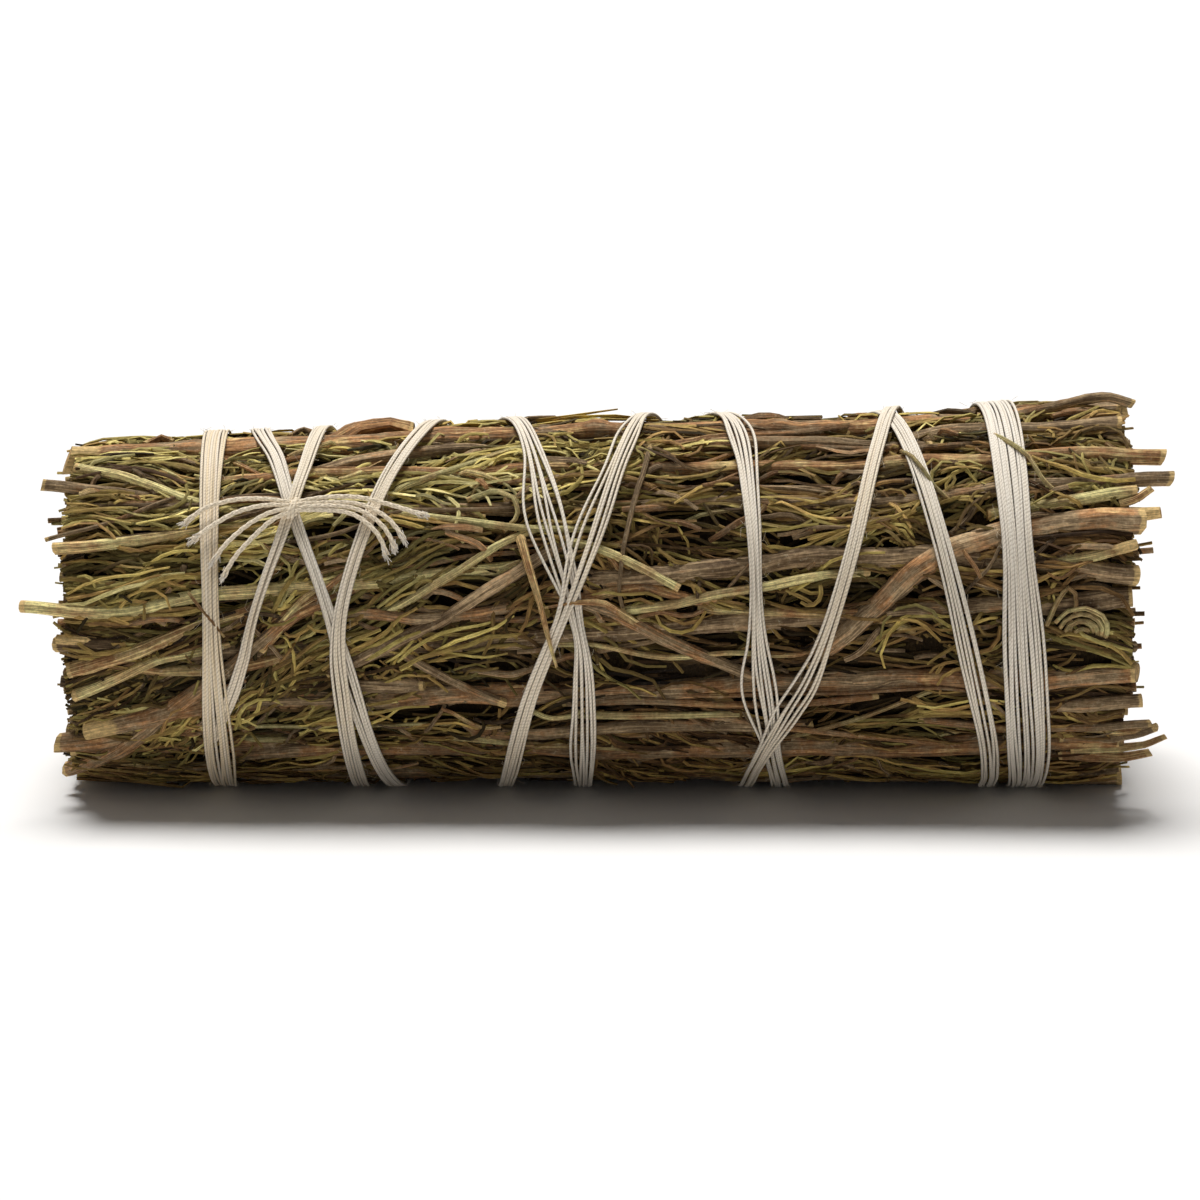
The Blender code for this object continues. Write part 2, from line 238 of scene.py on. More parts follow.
@dataclass
class Bundle:
    """The round bundle that the outer stems make: its axis and radius all along.

    Attributes:
        stations: X where it was measured.
        axis_y: The axis's Y.
        axis_z: The axis's height at each station.
        radius: The outside radius at each station.
        base: The lowest stems' height over the floor.
    """

    stations: Array
    axis_y: float
    axis_z: Array
    radius: Array
    base: float

    MEASURED = 47.5  # half the length that is measured
    GROWTH_END = 49.25

    @classmethod
    def measured(cls) -> "Bundle":
        """Fits a circle to the outer stems' sections at stations along the bundle.

        Returns:
            The bundle.
        """
        stems = [Solid(node) for node in nodes_called("woody_stem")]
        stations = np.linspace(-cls.MEASURED, cls.MEASURED, 39)
        found = []
        for x in stations:
            cuts = [s.section(x) for s in stems if s.span[0] < x < s.span[1]]
            middles, radii = np.array([c[0] for c in cuts]), np.array([c[1] for c in cuts])
            centre = middles.mean(0)
            for _ in range(4):
                outer = middles + unit(middles - centre) * radii[:, None]
                system = np.column_stack([2 * outer, np.ones(len(outer))])
                y, z, rest = np.linalg.lstsq(system, (outer**2).sum(1), rcond=None)[0]
                centre = np.array([y, z])
            found.append((y, z, math.sqrt(rest + y * y + z * z)))
        fitted = np.array(found)
        base = min(float(s.points[:, 2].min()) for s in stems)
        return cls(stations, float(fitted[:, 0].mean()), fitted[:, 1], fitted[:, 2], base)

    def r(self, x: Array) -> Array:
        """The bundle's radius at x."""
        return np.interp(x, self.stations, self.radius)

    def z(self, x: Array) -> Array:
        """The axis's height at x."""
        return np.interp(x, self.stations, self.axis_z)

    def out(self, degrees: Array) -> Array:
        """The direction away from the axis at an angle."""
        turn = np.radians(np.asarray(degrees, float))
        return np.stack([np.zeros_like(turn), -np.cos(turn), np.sin(turn)], -1)

    def at(self, x: Array, degrees: Array, height: Array) -> Array:
        """Points at a height over the bundle's outside, which is negative within it."""
        x, degrees, height = np.broadcast_arrays(*(np.asarray(v, float) for v in (x, degrees, height)))
        axis = np.stack([x, np.full_like(x, self.axis_y), self.z(x)], -1)
        return axis + self.out(degrees) * (self.r(x) + height)[..., None]

    def ragged(self, side: Array, y: Array, z: Array) -> Array:
        """How far out the cut growth reaches at one end, at places measured from the axis."""
        wide, fine = grain(z / 2.1, y / 11.0 + 7, side + 20), grain(z / 0.8, y / 4.0, side + 23)
        return self.GROWTH_END + 0.6 * wide + 0.45 * fine

    def taut(self, x: Array, degrees: Array, height: Array) -> Array:
        """The height of something wound tight at that height: it runs straight between the lowest stems."""
        down = np.minimum(np.abs(past(np.asarray(degrees), UNDERSIDE)), 60)
        flat = (self.z(x) - self.base + height) / np.cos(np.radians(down)) - self.r(x)
        return np.minimum(height, flat)


# ---- swept meshes


class Lay(Enum):
    """How the tubes of one mesh are laid out on its UV map, as columns of strips."""

    LONG = 1
    SHORT = 8
    LEAF = 24


@dataclass
class Sweep:
    """Many tubes swept along paths, gathered into one mesh.

    Attributes:
        name: The piece's name.
        sides: Sides to a tube.
        lay: The UV map's layout.
        cut_ends: Whether the ends show wood.
        groups: What has been added so far.
    """

    name: str
    sides: int
    lay: Lay = Lay.SHORT
    cut_ends: bool = False
    groups: list[dict[str, Array]] = field(default_factory=list)

    LOOKS = ("tone", "shade", "peel")
    # Where a tube's sides and ends lie in its cell of the UV map, and how large.
    SIDES_AT, SIDES_SIZE = (0.01, 0.06), (0.9, 0.88)
    ENDS_AT, ENDS_SIZE = (0.92, 0.06), (0.035, 0.88)

    @property
    def ring(self) -> tuple[Array, Array]:
        """The cosine and sine of each side's turn."""
        turns = 2 * np.pi * np.arange(self.sides) / self.sides
        return np.cos(turns), np.sin(turns)

    def add(
        self,
        paths: Array,
        ups: Array,
        wide: Array | float,
        thick: Array | float,
        tone: Array | float,
        ridges: Array | float = 1.0,
        shade: Array | float = 0.5,
        peel: Array | float = 0.0,
        slope: tuple[float, float] = (0.0, 0.0),
    ) -> None:
        """Adds tubes that have the same number of stations.

        Args:
            paths: Their middles, tube by station by 3.
            ups: The way their upper sides face, the same shape.
            wide: Half widths, tube by station.
            thick: Half thicknesses, tube by station.
            tone: Each tube's place on its material's colour ramp.
            ridges: A factor on the radius, tube by station by side.
            shade: Each tube's own lightness, 0 to 1, which on leaves holds painted shade too.
            peel: How bare of bark it is, tube by station; on thread, 1 leaves out its painted side shade.
            slope: How slanted its first and last cuts are, as rise over run.
        """
        size = paths.shape[:2]
        along = unit(np.gradient(paths, axis=1))
        side = unit(np.cross(along, ups))
        up = np.cross(side, along)
        ring = np.zeros(1)
        for way, turn, half in zip((side, up), self.ring, (wide, thick)):
            ring = ring + way[:, :, None] * (turn * np.broadcast_to(half, size)[..., None])[..., None]
        ring *= np.asarray(ridges)[..., None]
        for end, rise in zip((0, -1), slope):
            lift = (ring[:, end] * up[:, end, None]).sum(-1, keepdims=True) * rise
            ring[:, end] += along[:, end, None] * lift
        steps = np.linalg.norm(np.diff(paths, axis=1), axis=-1)
        lengths = np.pad(np.cumsum(steps, axis=1), ((0, 0), (1, 0)))
        tone, shade = (np.reshape(np.broadcast_to(value, size[0]), (-1, 1)) for value in (tone, shade))
        looks = {key: np.broadcast_to(value, size) for key, value in zip(self.LOOKS, (tone, shade, peel))}
        self.groups.append({"points": paths[:, :, None] + ring, "lengths": lengths, **looks})

    def _lists(self, group: dict[str, Array], tube: int, vertex: int, rows: int) -> dict[str, Array]:
        """One group's part of the mesh's lists.

        Args:
            group: The group.
            tube: How many tubes come before it.
            vertex: How many vertices come before it.
            rows: The rows of the UV map.

        Returns:
            The lists by name: vertices, corners, face sizes, both UV maps and the attributes.
        """
        lengths, sides, columns = group["lengths"], self.sides, self.lay.value
        tubes, stations = lengths.shape
        s, k = np.meshgrid(np.arange(stations - 1), np.arange(sides), indexing="ij")
        s, k = np.stack([s, s + 1, s + 1, s], -1).ravel(), np.stack([k, k, k + 1, k + 1], -1).ravel()
        rim = np.arange(sides)
        one_tube = np.concatenate([s * sides + k % sides, rim, (stations - 1) * sides + rim[::-1]])
        corners = vertex + np.arange(tubes)[:, None] * stations * sides + one_tube
        along, around = lengths[:, s], np.broadcast_to(k / sides, (tubes, len(k)))
        share = np.stack([along / np.maximum(lengths[:, -1:], 1e-6), around], -1)
        disc = np.stack(self.ring, -1)
        ends = np.broadcast_to(np.concatenate([disc, disc[::-1]]), (tubes, 2 * sides, 2))
        ends_share = np.concatenate([disc * 0.4 + 0.5, disc[::-1] * 0.4 + (1.5, 0.5)])
        cell = tube + np.arange(tubes)
        corner = np.stack([cell % columns, cell // columns], -1)[:, None]
        sides_uv = (corner + self.SIDES_AT + share * self.SIDES_SIZE) / (columns, rows)
        ends_uv = (corner + self.ENDS_AT + ends_share * self.ENDS_SIZE) / (columns, rows)
        cut = np.where(np.arange(len(one_tube)) < len(k), 0.0, float(self.cut_ends))
        return {
            "vertices": group["points"].reshape(-1, 3),
            "corners": corners.ravel(),
            "sizes": np.tile([4] * (len(k) // 4) + [sides] * 2, tubes),
            "OFBake": np.concatenate([sides_uv, ends_uv], 1).ravel(),
            "Lay": np.concatenate([np.stack([around, along], -1), ends], 1).ravel(),
            "cut": np.tile(cut, tubes),
            **{key: group[key].repeat(sides) for key in self.LOOKS},
        }

    def build(self, material: Material, sharp_deg: float = 80.0) -> bpy.types.Object:
        """Makes the mesh object.

        Args:
            material: Its material.
            sharp_deg: Edges sharper than this aren't smoothed.

        Returns:
            The object, riding on the body.
        """
        total = sum(len(group["lengths"]) for group in self.groups)
        parts, tube, vertex = [], 0, 0
        for group in self.groups:
            parts.append(self._lists(group, tube, vertex, math.ceil(total / self.lay.value)))
            tube += len(group["lengths"])
            vertex += group["lengths"].size * self.sides
        lists = {key: np.concatenate([part[key] for part in parts]) for key in parts[0]}
        mesh = bpy.data.meshes.new(self.name)
        mesh.vertices.add(len(lists["vertices"]))
        mesh.vertices.foreach_set("co", (lists["vertices"] * MM).ravel())
        mesh.loops.add(len(lists["corners"]))
        mesh.loops.foreach_set("vertex_index", lists["corners"])
        mesh.polygons.add(len(lists["sizes"]))
        mesh.polygons.foreach_set("loop_start", np.concatenate([[0], np.cumsum(lists["sizes"])[:-1]]))
        mesh.update(calc_edges=True)
        for key in ("OFBake", "Lay"):
            mesh.uv_layers.new(name=key).data.foreach_set("uv", lists[key])
        for key in (*self.LOOKS, "cut"):
            domain = "CORNER" if key == "cut" else "POINT"
            mesh.attributes.new(key, "FLOAT", domain).data.foreach_set("value", lists[key])
        mesh.validate()
        mesh.shade_smooth()
        mesh.set_sharp_from_angle(angle=math.radians(sharp_deg))
        made = bpy.data.objects.new(self.name, mesh)
        mesh.materials.append(material)
        bpy.context.scene.collection.objects.link(made)
        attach(made, BODY)
        log.info("%s: %d tubes, %d faces", self.name, total, len(lists["sizes"]))
        return made


# ---- finishes


class Nodes:
    """Builds a node tree with short calls."""

    def __init__(self, tree: bpy.types.NodeTree) -> None:
        """Keeps the tree that the nodes go into."""
        self.tree = tree

    def feed(self, socket: Socket, value: object) -> None:
        """Links a socket, or gives it a value.

        Args:
            socket: The input.
            value: Another node's socket, or a value. A colour of three numbers is opaque.
        """
        if isinstance(value, Socket):
            self.tree.links.new(value, socket)
        else:
            opaque = socket.type == "RGBA" and len(value) == 3
            socket.default_value = (*value, 1.0) if opaque else value

    def add(
        self, kind: str, inputs: dict[str | int, object] | None = None, **settings: object
    ) -> bpy.types.Node:
        """Adds a node.

        Args:
            kind: Its type.
            inputs: Values or sockets for its inputs, by name or number.
            settings: Its properties.

        Returns:
            The node.
        """
        node = self.tree.nodes.new(kind)
        for key, value in settings.items():
            setattr(node, key, value)
        for key, value in (inputs or {}).items():
            self.feed(node.inputs[key], value)
        return node

    def math(self, operation: str, *values: object) -> Socket:
        """One Math node's result."""
        return self.add("ShaderNodeMath", dict(enumerate(values)), operation=operation).outputs[0]

    def plus(self, first: object, second: object) -> Socket:
        """Two values added."""
        return self.math("ADD", first, second)

    def times(self, first: object, second: object) -> Socket:
        """Two values multiplied."""
        return self.math("MULTIPLY", first, second)

    def swing(self, value: Socket, depth: float) -> Socket:
        """A value from 0 to 1 made to swing about 0, as far as the depth in all."""
        return self.times(self.math("SUBTRACT", value, 0.5), depth)

    def fade(self, value: Socket, start: float, end: float) -> Socket:
        """0 before a value's start, 1 past its end, and even between."""
        return self.add("ShaderNodeMapRange", {0: value, 1: start, 2: end}).outputs[0]

    def ramp(self, factor: Socket, stops: tuple[tuple[float, Colour], ...]) -> Socket:
        """Adds a colour ramp.

        Args:
            factor: What picks the colour.
            stops: The ramp's stops, each (place, colour).

        Returns:
            The ramp's colour.
        """
        node = self.add("ShaderNodeValToRGB", {"Fac": factor})
        elements = node.color_ramp.elements
        while len(elements) < len(stops):
            elements.new(0.5)
        for element, (place, colour) in zip(elements, stops):
            element.position = place
            element.color = (*colour, 1.0)
        return node.outputs["Color"]

    def mix(self, factor: object, first: object, second: object, blend: str = "MIX") -> Socket:
        """Two colours mixed."""
        inputs = {0: factor, 6: first, 7: second}
        return self.add("ShaderNodeMix", inputs, data_type="RGBA", blend_type=blend).outputs[2]

    def noise(self, vector: Socket, scale: float, detail: float = 2.0, rough: float = 0.5) -> Socket:
        """A noise texture's value."""
        inputs = {"Vector": vector, "Scale": scale, "Detail": detail, "Roughness": rough}
        return self.add("ShaderNodeTexNoise", inputs).outputs["Fac"]

    def attribute(self, name: str) -> Socket:
        """A mesh attribute's value."""
        return self.add("ShaderNodeAttribute", attribute_name=name).outputs["Fac"]

    def lay(self) -> Socket:
        """The tube's own map: the share of the way round, and the mm along."""
        return self.add("ShaderNodeUVMap", uv_map="Lay").outputs[0]

    def place(self) -> Socket:
        """The place in the object, in metres."""
        return self.add("ShaderNodeTexCoord").outputs["Object"]


def fibre_group() -> bpy.types.NodeTree:
    """Lengthwise fibres and blotches, for anything that grew: read from the tube's own length and turn.

    Returns:
        The group.
    """
    group = bpy.data.node_groups.new("plant_fibre", "ShaderNodeTree")
    for name in ("Across", "Along"):
        group.interface.new_socket(name=name, in_out="INPUT", socket_type="NodeSocketFloat")
    for name in ("Fibre", "Fine", "Blotch", "Crack", "Speck"):
        group.interface.new_socket(name=name, in_out="OUTPUT", socket_type="NodeSocketFloat")
    n = Nodes(group)
    inside, out = n.add("NodeGroupInput").outputs, n.add("NodeGroupOutput").inputs
    parts = n.add("ShaderNodeSeparateXYZ", {0: n.lay()}).outputs
    turn = n.times(parts[0], FULL_TURN)
    seed = n.times(n.attribute("shade"), 37.0)
    x = n.plus(n.times(n.math("COSINE", turn), inside["Across"]), seed)
    y = n.times(n.math("SINE", turn), inside["Across"])
    z = n.times(parts[1], inside["Along"])
    own = n.add("ShaderNodeCombineXYZ", {0: x, 1: y, 2: z}).outputs[0]
    fibre = n.noise(own, 1.0, 4.0, 0.65)
    stretched = {0: own, 1: (3.1, 3.1, 4.5)}
    closer = n.add("ShaderNodeVectorMath", stretched, operation="MULTIPLY").outputs["Vector"]
    fine = n.noise(closer, 1.0, 3.0, 0.6)
    place = n.place()
    ridge = n.times(n.math("ABSOLUTE", n.math("SUBTRACT", fibre, 0.47)), 14.0)
    crack = n.math("MAXIMUM", n.math("SUBTRACT", 1.0, ridge), n.fade(fine, 0.42, 0.31))
    results = (fibre, fine, n.noise(place, 240.0, 4.0, 0.62), crack, n.noise(place, 2400.0, 3.0, 0.7))
    for socket, value in zip(out, results):
        n.feed(socket, value)
    return group


@dataclass(frozen=True)
class Finish:
    """What every finish shares.

    Attributes:
        name: The material's name.
    """

    name: str

    def begin(self) -> tuple[Material, Nodes]:
        """A new material, and the helper for its nodes."""
        made = bpy.data.materials.new(self.name)
        made.use_nodes = True
        return made, Nodes(made.node_tree)

    def dress(
        self, n: Nodes, colour: Socket, height: Socket, relief: float, strength: float, **plain: float
    ) -> None:
        """Feeds the material's shader.

        Args:
            n: The helper for its nodes.
            colour: Its colour.
            height: The height of its bumps, 0 to 1.
            relief: The bumps' depth in metres.
            strength: The bumps' strength.
            plain: Values for sockets, named with _ for each space.
        """
        bump = n.add("ShaderNodeBump", {"Height": height, "Distance": relief, "Strength": strength})
        values = {"Base_Color": colour, "Normal": bump.outputs[0], **plain}
        for name, value in values.items():
            n.feed(n.tree.nodes["Principled BSDF"].inputs[name.replace("_", " ")], value)


@dataclass(frozen=True)
class Growth(Finish):
    """A finish for something that grew.

    Attributes:
        ramp: Colours by tone, each (place, colour).
        across: How many fibres go round, roughly.
        along: How often they change, per mm.
        crack: How dark the cracks are, 0 to 1.
        relief: The bump's depth in metres.
        roughness: The roughness.
        wander: How much the tone changes from patch to patch.
        cut: The colour of a cut end.
        stalks: How many cut stalks show to a metre of a cut end, or 0 for one stem's own wood.
        light: The brightness at a shade of 0, and how much more at 1.
        speck: How strong the fine specks are.
        fleck: How strong the pale flecks are.
    """

    ramp: tuple[tuple[float, Colour], ...]
    across: float
    along: float
    crack: float
    relief: float
    roughness: float
    wander: float = 0.6
    cut: Colour = (0.50, 0.34, 0.15)
    stalks: float = 0.0
    light: tuple[float, float] = (0.34, 1.0)
    speck: float = 1.0
    fleck: float = 0.0

    CRACKED = (0.018, 0.011, 0.006)
    FLECKED = (0.50, 0.43, 0.29)
    AGED = (0.70, 0.55, 0.42)
    # Painted shade in the gaps between cut stalks.
    STALK_GAP_SHADE = (0.012, 0.008, 0.004)

    def _cut_by(self, factor: float) -> Colour:
        """The cut end's colour, paler or deeper."""
        return tuple(min(1.0, c * factor) for c in self.cut)

    def _wood(self, n: Nodes, speck: Socket) -> Socket:
        """Rings across one stem's cut end, or many cut stalks with painted shade in the gaps between them.

        Args:
            n: The helper for the material's nodes.
            speck: Fine specks, 0 to 1.

        Returns:
            The cut end's colour.
        """
        pale, deep = self._cut_by(1.35), self._cut_by(0.35)
        if self.stalks:
            cells = n.add("ShaderNodeTexVoronoi", {"Vector": n.place(), "Scale": self.stalks}).outputs
            pick = n.add("ShaderNodeSeparateColor", {0: cells["Color"]}).outputs[0]
            wood = n.ramp(pick, ((0.1, deep), (0.5, self.cut), (0.95, pale)))
            wood = n.mix(n.fade(n.times(cells["Distance"], 1.1), 0.25, 0.6), wood, self.STALK_GAP_SHADE)
        else:
            span = n.add("ShaderNodeVectorMath", {0: n.lay()}, operation="LENGTH").outputs["Value"]
            rings = n.plus(n.times(span, 0.6), n.times(speck, 0.55))
            wood = n.ramp(rings, ((0.12, deep), (0.3, self.cut), (0.62, pale), (0.95, deep)))
        return n.mix(n.fade(n.attribute("tone"), 0.25, 0.8), wood, self.AGED, "MULTIPLY")

    def material(self) -> Material:
        """Makes the material.

        Returns:
            The material.
        """
        made, n = self.begin()
        group = bpy.data.node_groups.get("plant_fibre") or fibre_group()
        sizes = {"Across": self.across, "Along": self.along}
        fibres = n.add("ShaderNodeGroup", sizes, node_tree=group).outputs
        fibre, blotch, speck = fibres["Fibre"], fibres["Blotch"], fibres["Speck"]
        tone = n.plus(n.plus(n.attribute("tone"), n.swing(blotch, self.wander)), n.swing(fibre, 0.5))
        # The shade attribute is random lightness, and on leaves also painted shade where they lie deep and in
        # hollows.
        light = n.plus(n.times(n.attribute("shade"), self.light[1]), self.light[0])
        for value, depth in ((fibre, 1.7), (fibres["Fine"], 1.5), (speck, self.speck)):
            light = n.times(light, n.plus(n.swing(value, depth), 1.0))
        grey = n.add("ShaderNodeCombineColor", {0: light, 1: light, 2: light}).outputs[0]
        colour = n.mix(1.0, n.ramp(tone, self.ramp), grey, "MULTIPLY")
        colour = n.mix(n.times(fibres["Crack"], self.crack), colour, self.CRACKED)
        colour = n.mix(n.times(n.fade(speck, 0.6, 0.7), self.fleck), colour, self.FLECKED)
        bare = n.plus(n.plus(n.attribute("peel"), n.times(blotch, 0.8)), n.times(fibre, 0.5))
        peeled = n.mix(1.0, self._cut_by(1.05), grey, "MULTIPLY")
        colour = n.mix(n.fade(bare, 1.08, 1.2), colour, peeled)
        colour = n.mix(n.attribute("cut"), colour, n.mix(1.0, self._wood(n, speck), grey, "MULTIPLY"))
        height = n.plus(fibre, n.times(fibres["Fine"], 0.6))
        looks = {"Roughness": self.roughness, "Specular_IOR_Level": 0.14}
        self.dress(n, colour, height, self.relief, 1.0, **looks)
        return made


@dataclass(frozen=True)
class Cotton(Finish):
    """A finish for twisted cotton thread.

    Attributes:
        pale: The colour of the raised plies.
        deep: The colour of the darker fluff, and the painted shade between the plies.
        warm: The colour that tinted threads lean to.
        pitch: The twist's length in mm.
    """

    pale: Colour
    deep: Colour
    warm: Colour
    pitch: float

    FLUFF = 5200.0  # fibres to a metre

    def material(self) -> Material:
        """Makes the material.

        Returns:
            The material.
        """
        made, n = self.begin()
        parts = n.add("ShaderNodeSeparateXYZ", {0: n.lay()}).outputs
        turn = n.times(parts[0], 2 * FULL_TURN)
        run = n.times(parts[1], 2 * FULL_TURN / self.pitch)
        run = n.plus(run, n.times(n.attribute("shade"), 60.0))
        ply = n.plus(n.times(n.math("SINE", n.plus(turn, run)), 0.5), 0.5)
        place = n.place()
        height = n.plus(n.times(ply, 0.38), n.times(n.noise(place, self.FLUFF, 3.0, 0.7), 0.75))
        # The twist's low parts take the deep colour: painted shade between the plies, mixed with darker
        # fluff.
        colour = n.ramp(height, ((0.12, self.deep), (0.62, self.pale)))
        # Painted shade on each thread's sides and underside, where it meets its neighbours; peel 1 leaves it
        # out.
        painted_side_shade = n.fade(n.math("SINE", n.times(parts[0], FULL_TURN)), 0.86, 0.25)
        free = n.math("SUBTRACT", 1.0, n.attribute("peel"))
        shadow = tuple(c * 0.42 for c in self.deep)
        colour = n.mix(n.times(n.times(painted_side_shade, free), 0.55), colour, shadow)
        warmth = n.times(n.attribute("tone"), n.plus(0.4, n.noise(place, 130.0)))
        colour = n.mix(warmth, colour, self.warm, "MULTIPLY")
        looks = {"Roughness": 0.95, "Specular_IOR_Level": 0.15, "Sheen_Weight": 0.25}
        self.dress(n, colour, height, 0.00006, 0.8, **looks)
        return made


BARK = Growth(
    "bark",
    ((0.05, (0.105, 0.062, 0.032)), (0.22, (0.255, 0.168, 0.09)), (0.4, (0.42, 0.295, 0.162)),
     (0.58, (0.39, 0.19, 0.078)), (0.74, (0.6, 0.425, 0.19)), (0.92, (0.7, 0.61, 0.27))),
    across=3.0, along=0.14, crack=0.55, relief=0.0002, roughness=0.78, wander=1.0,
    cut=(0.56, 0.39, 0.17), light=(0.40, 1.14), speck=1.6, fleck=0.4,
)
LEAF = Growth(
    "dried_leaf",
    ((0.05, (0.085, 0.042, 0.016)), (0.25, (0.27, 0.15, 0.052)), (0.45, (0.39, 0.262, 0.078)),
     (0.62, (0.47, 0.368, 0.105)), (0.8, (0.625, 0.515, 0.18)), (0.96, (0.8, 0.69, 0.31))),
    across=1.0, along=0.6, crack=0.15, relief=0.00008, roughness=0.7,
    light=(0.06, 1.36), speck=0.7, fleck=0.1,
)
# Near black: painted shade for the packed leaves seen deep in the gaps; the cut ends keep a paler colour.
LITTER_IN_PAINTED_SHADE = Growth(
    "packed_leaf_in_painted_shade",
    ((0.1, (0.008, 0.005, 0.002)), (0.5, (0.034, 0.021, 0.009)), (0.9, (0.085, 0.056, 0.021))),
    across=9.0, along=0.8, crack=0.7, relief=0.0006, roughness=0.95,
    cut=(0.44, 0.31, 0.14), stalks=2300.0,
)
# Its deep colour is painted shade between the plies, and darker fluff.
THREAD = Cotton("cotton_thread", (0.93, 0.865, 0.765), (0.54, 0.47, 0.37), (0.97, 0.86, 0.67), 0.8)


# ---- the thread's route


@dataclass
class HankRoute:
    """The way of one strip of the hank: how far it has turned, and where it is along X.

    Attributes:
        turned: Degrees turned, changing steadily and not wrapped.
        x: The strip's middle at each.
        width: The strip's width.
        closed: Whether it comes back to its own start.
    """

    turned: Array
    x: Array
    width: float
    closed: bool

    STEP = 3.0  # degrees from station to station
    BAND = 12.0  # a strip that is shorter than this along X is a closed band
    GAP = 1.9  # the least gap along X between two turns of one strip
    NEAR = 1.5  # the furthest that a strip moves along X in one step

    @classmethod
    def _passes(cls, solid: Solid, bundle: Bundle, gap: float) -> list[list[tuple[float, float]]]:
        """Cuts a strip at every angle.

        Args:
            solid: The strip.
            bundle: The bundle it is wound on.
            gap: The least gap along X between two turns.

        Returns:
            For each angle, the middle and width along X of every pass.
        """
        rel_y = solid.points[:, 1] - bundle.axis_y
        rel_z = solid.points[:, 2] - bundle.z(solid.points[:, 0])
        passes = []
        for turn in np.radians(np.arange(int(360 / cls.STEP)) * cls.STEP):
            cut = solid.crossings(rel_y * math.sin(turn) + rel_z * math.cos(turn))
            cut_y, cut_z = cut[:, 1] - bundle.axis_y, cut[:, 2] - bundle.z(cut[:, 0])
            kept = np.sort(cut[-cut_y * math.cos(turn) + cut_z * math.sin(turn) > 0, 0])
            runs = [run for run in np.split(kept, np.where(np.diff(kept) > gap)[0] + 1) if len(run) > 2]
            passes.append([(float(run.min() + run.max()) / 2, float(np.ptp(run))) for run in runs])
        return passes

    @classmethod
    def traced(cls, node: str, bundle: Bundle) -> "HankRoute":
        """Follows a packed strip round the bundle, from its left end where it has ends.

        Args:
            node: The strip's node.
            bundle: The bundle it is wound on.

        Returns:
            The route.
        """
        solid = Solid(node)
        closed = solid.span[1] - solid.span[0] < cls.BAND
        passes = cls._passes(solid, bundle, math.inf if closed else cls.GAP)
        width = float(np.median([w for found in passes for _, w in found]))
        if closed:
            xs = np.array([found[0][0] for found in passes])
            return cls(np.arange(len(passes)) * cls.STEP, xs, width, True)
        x, index = min((x, index) for index, found in enumerate(passes) for x, _ in found)
        way = 1 if any(abs(other - x) < cls.NEAR for other, _ in passes[(index + 1) % len(passes)]) else -1
        turned, xs = [index * cls.STEP], [x]
        while True:
            index = (index + way) % len(passes)
            guess = 2 * xs[-1] - xs[-2] if len(xs) > 1 else x
            near = [other for other, _ in passes[index] if abs(other - guess) < cls.NEAR]
            if not near:
                break
            xs.append(min(near, key=lambda other: abs(other - guess)))
            turned.append(turned[-1] + way * cls.STEP)
        smooth = np.array(xs)
        smooth[1:-1] = (smooth[:-2] + smooth[1:-1] + smooth[2:]) / 3
        return cls(np.array(turned), smooth, width, False)

    def led(self, first: Pairs, last: Pairs) -> "HankRoute":
        """The same way with its two ends led on, so that they pass under something.

        Args:
            first: Places before its start, the furthest first, each (degrees from its start, X).
            last: Places after its end, the nearest first, each (degrees from its end, X).

        Returns:
            The longer way.
        """
        sign = float(np.sign(self.turned[1] - self.turned[0]))
        before, after, own = np.array(first), np.array(last), slice(4, -5)
        starts, ends = self.turned[0] * sign - before[:, 0], self.turned[-1] * sign + after[:, 0]
        known = np.concatenate([starts, self.turned[own] * sign, ends])
        steady = np.arange(known[0], known[-1], self.STEP)
        xs = np.interp(steady, known, np.concatenate([before[:, 1], self.x[own], after[:, 1]]))
        return HankRoute(steady * sign, xs, self.width, False)

    def nudged(self, degrees: float, reach: float, shift: float) -> "HankRoute":
        """The same way, moved along X near one angle.

        Args:
            degrees: The angle.
            reach: How far it is felt, in degrees.
            shift: How far it moves, in mm.

        Returns:
            The moved way.
        """
        moved = self.x + shift * bell(past(self.turned, degrees) / reach)
        return HankRoute(self.turned, moved, self.width, self.closed)

    def crossing(self, other: "HankRoute", reach: float) -> Array:
        """How near another strip runs.

        Args:
            other: The other strip.
            reach: How far along X it is felt, in mm.

        Returns:
            At each station, 0 when clear of it and 1 where they cross.
        """
        near = np.zeros(len(self.x))
        for turned, x in zip(other.turned, other.x):
            same = np.abs(past(self.turned, turned)) < self.STEP
            near = np.where(same, np.maximum(near, 1 - np.abs(self.x - x) / reach), near)
        return smoothstep(near * 1.6)


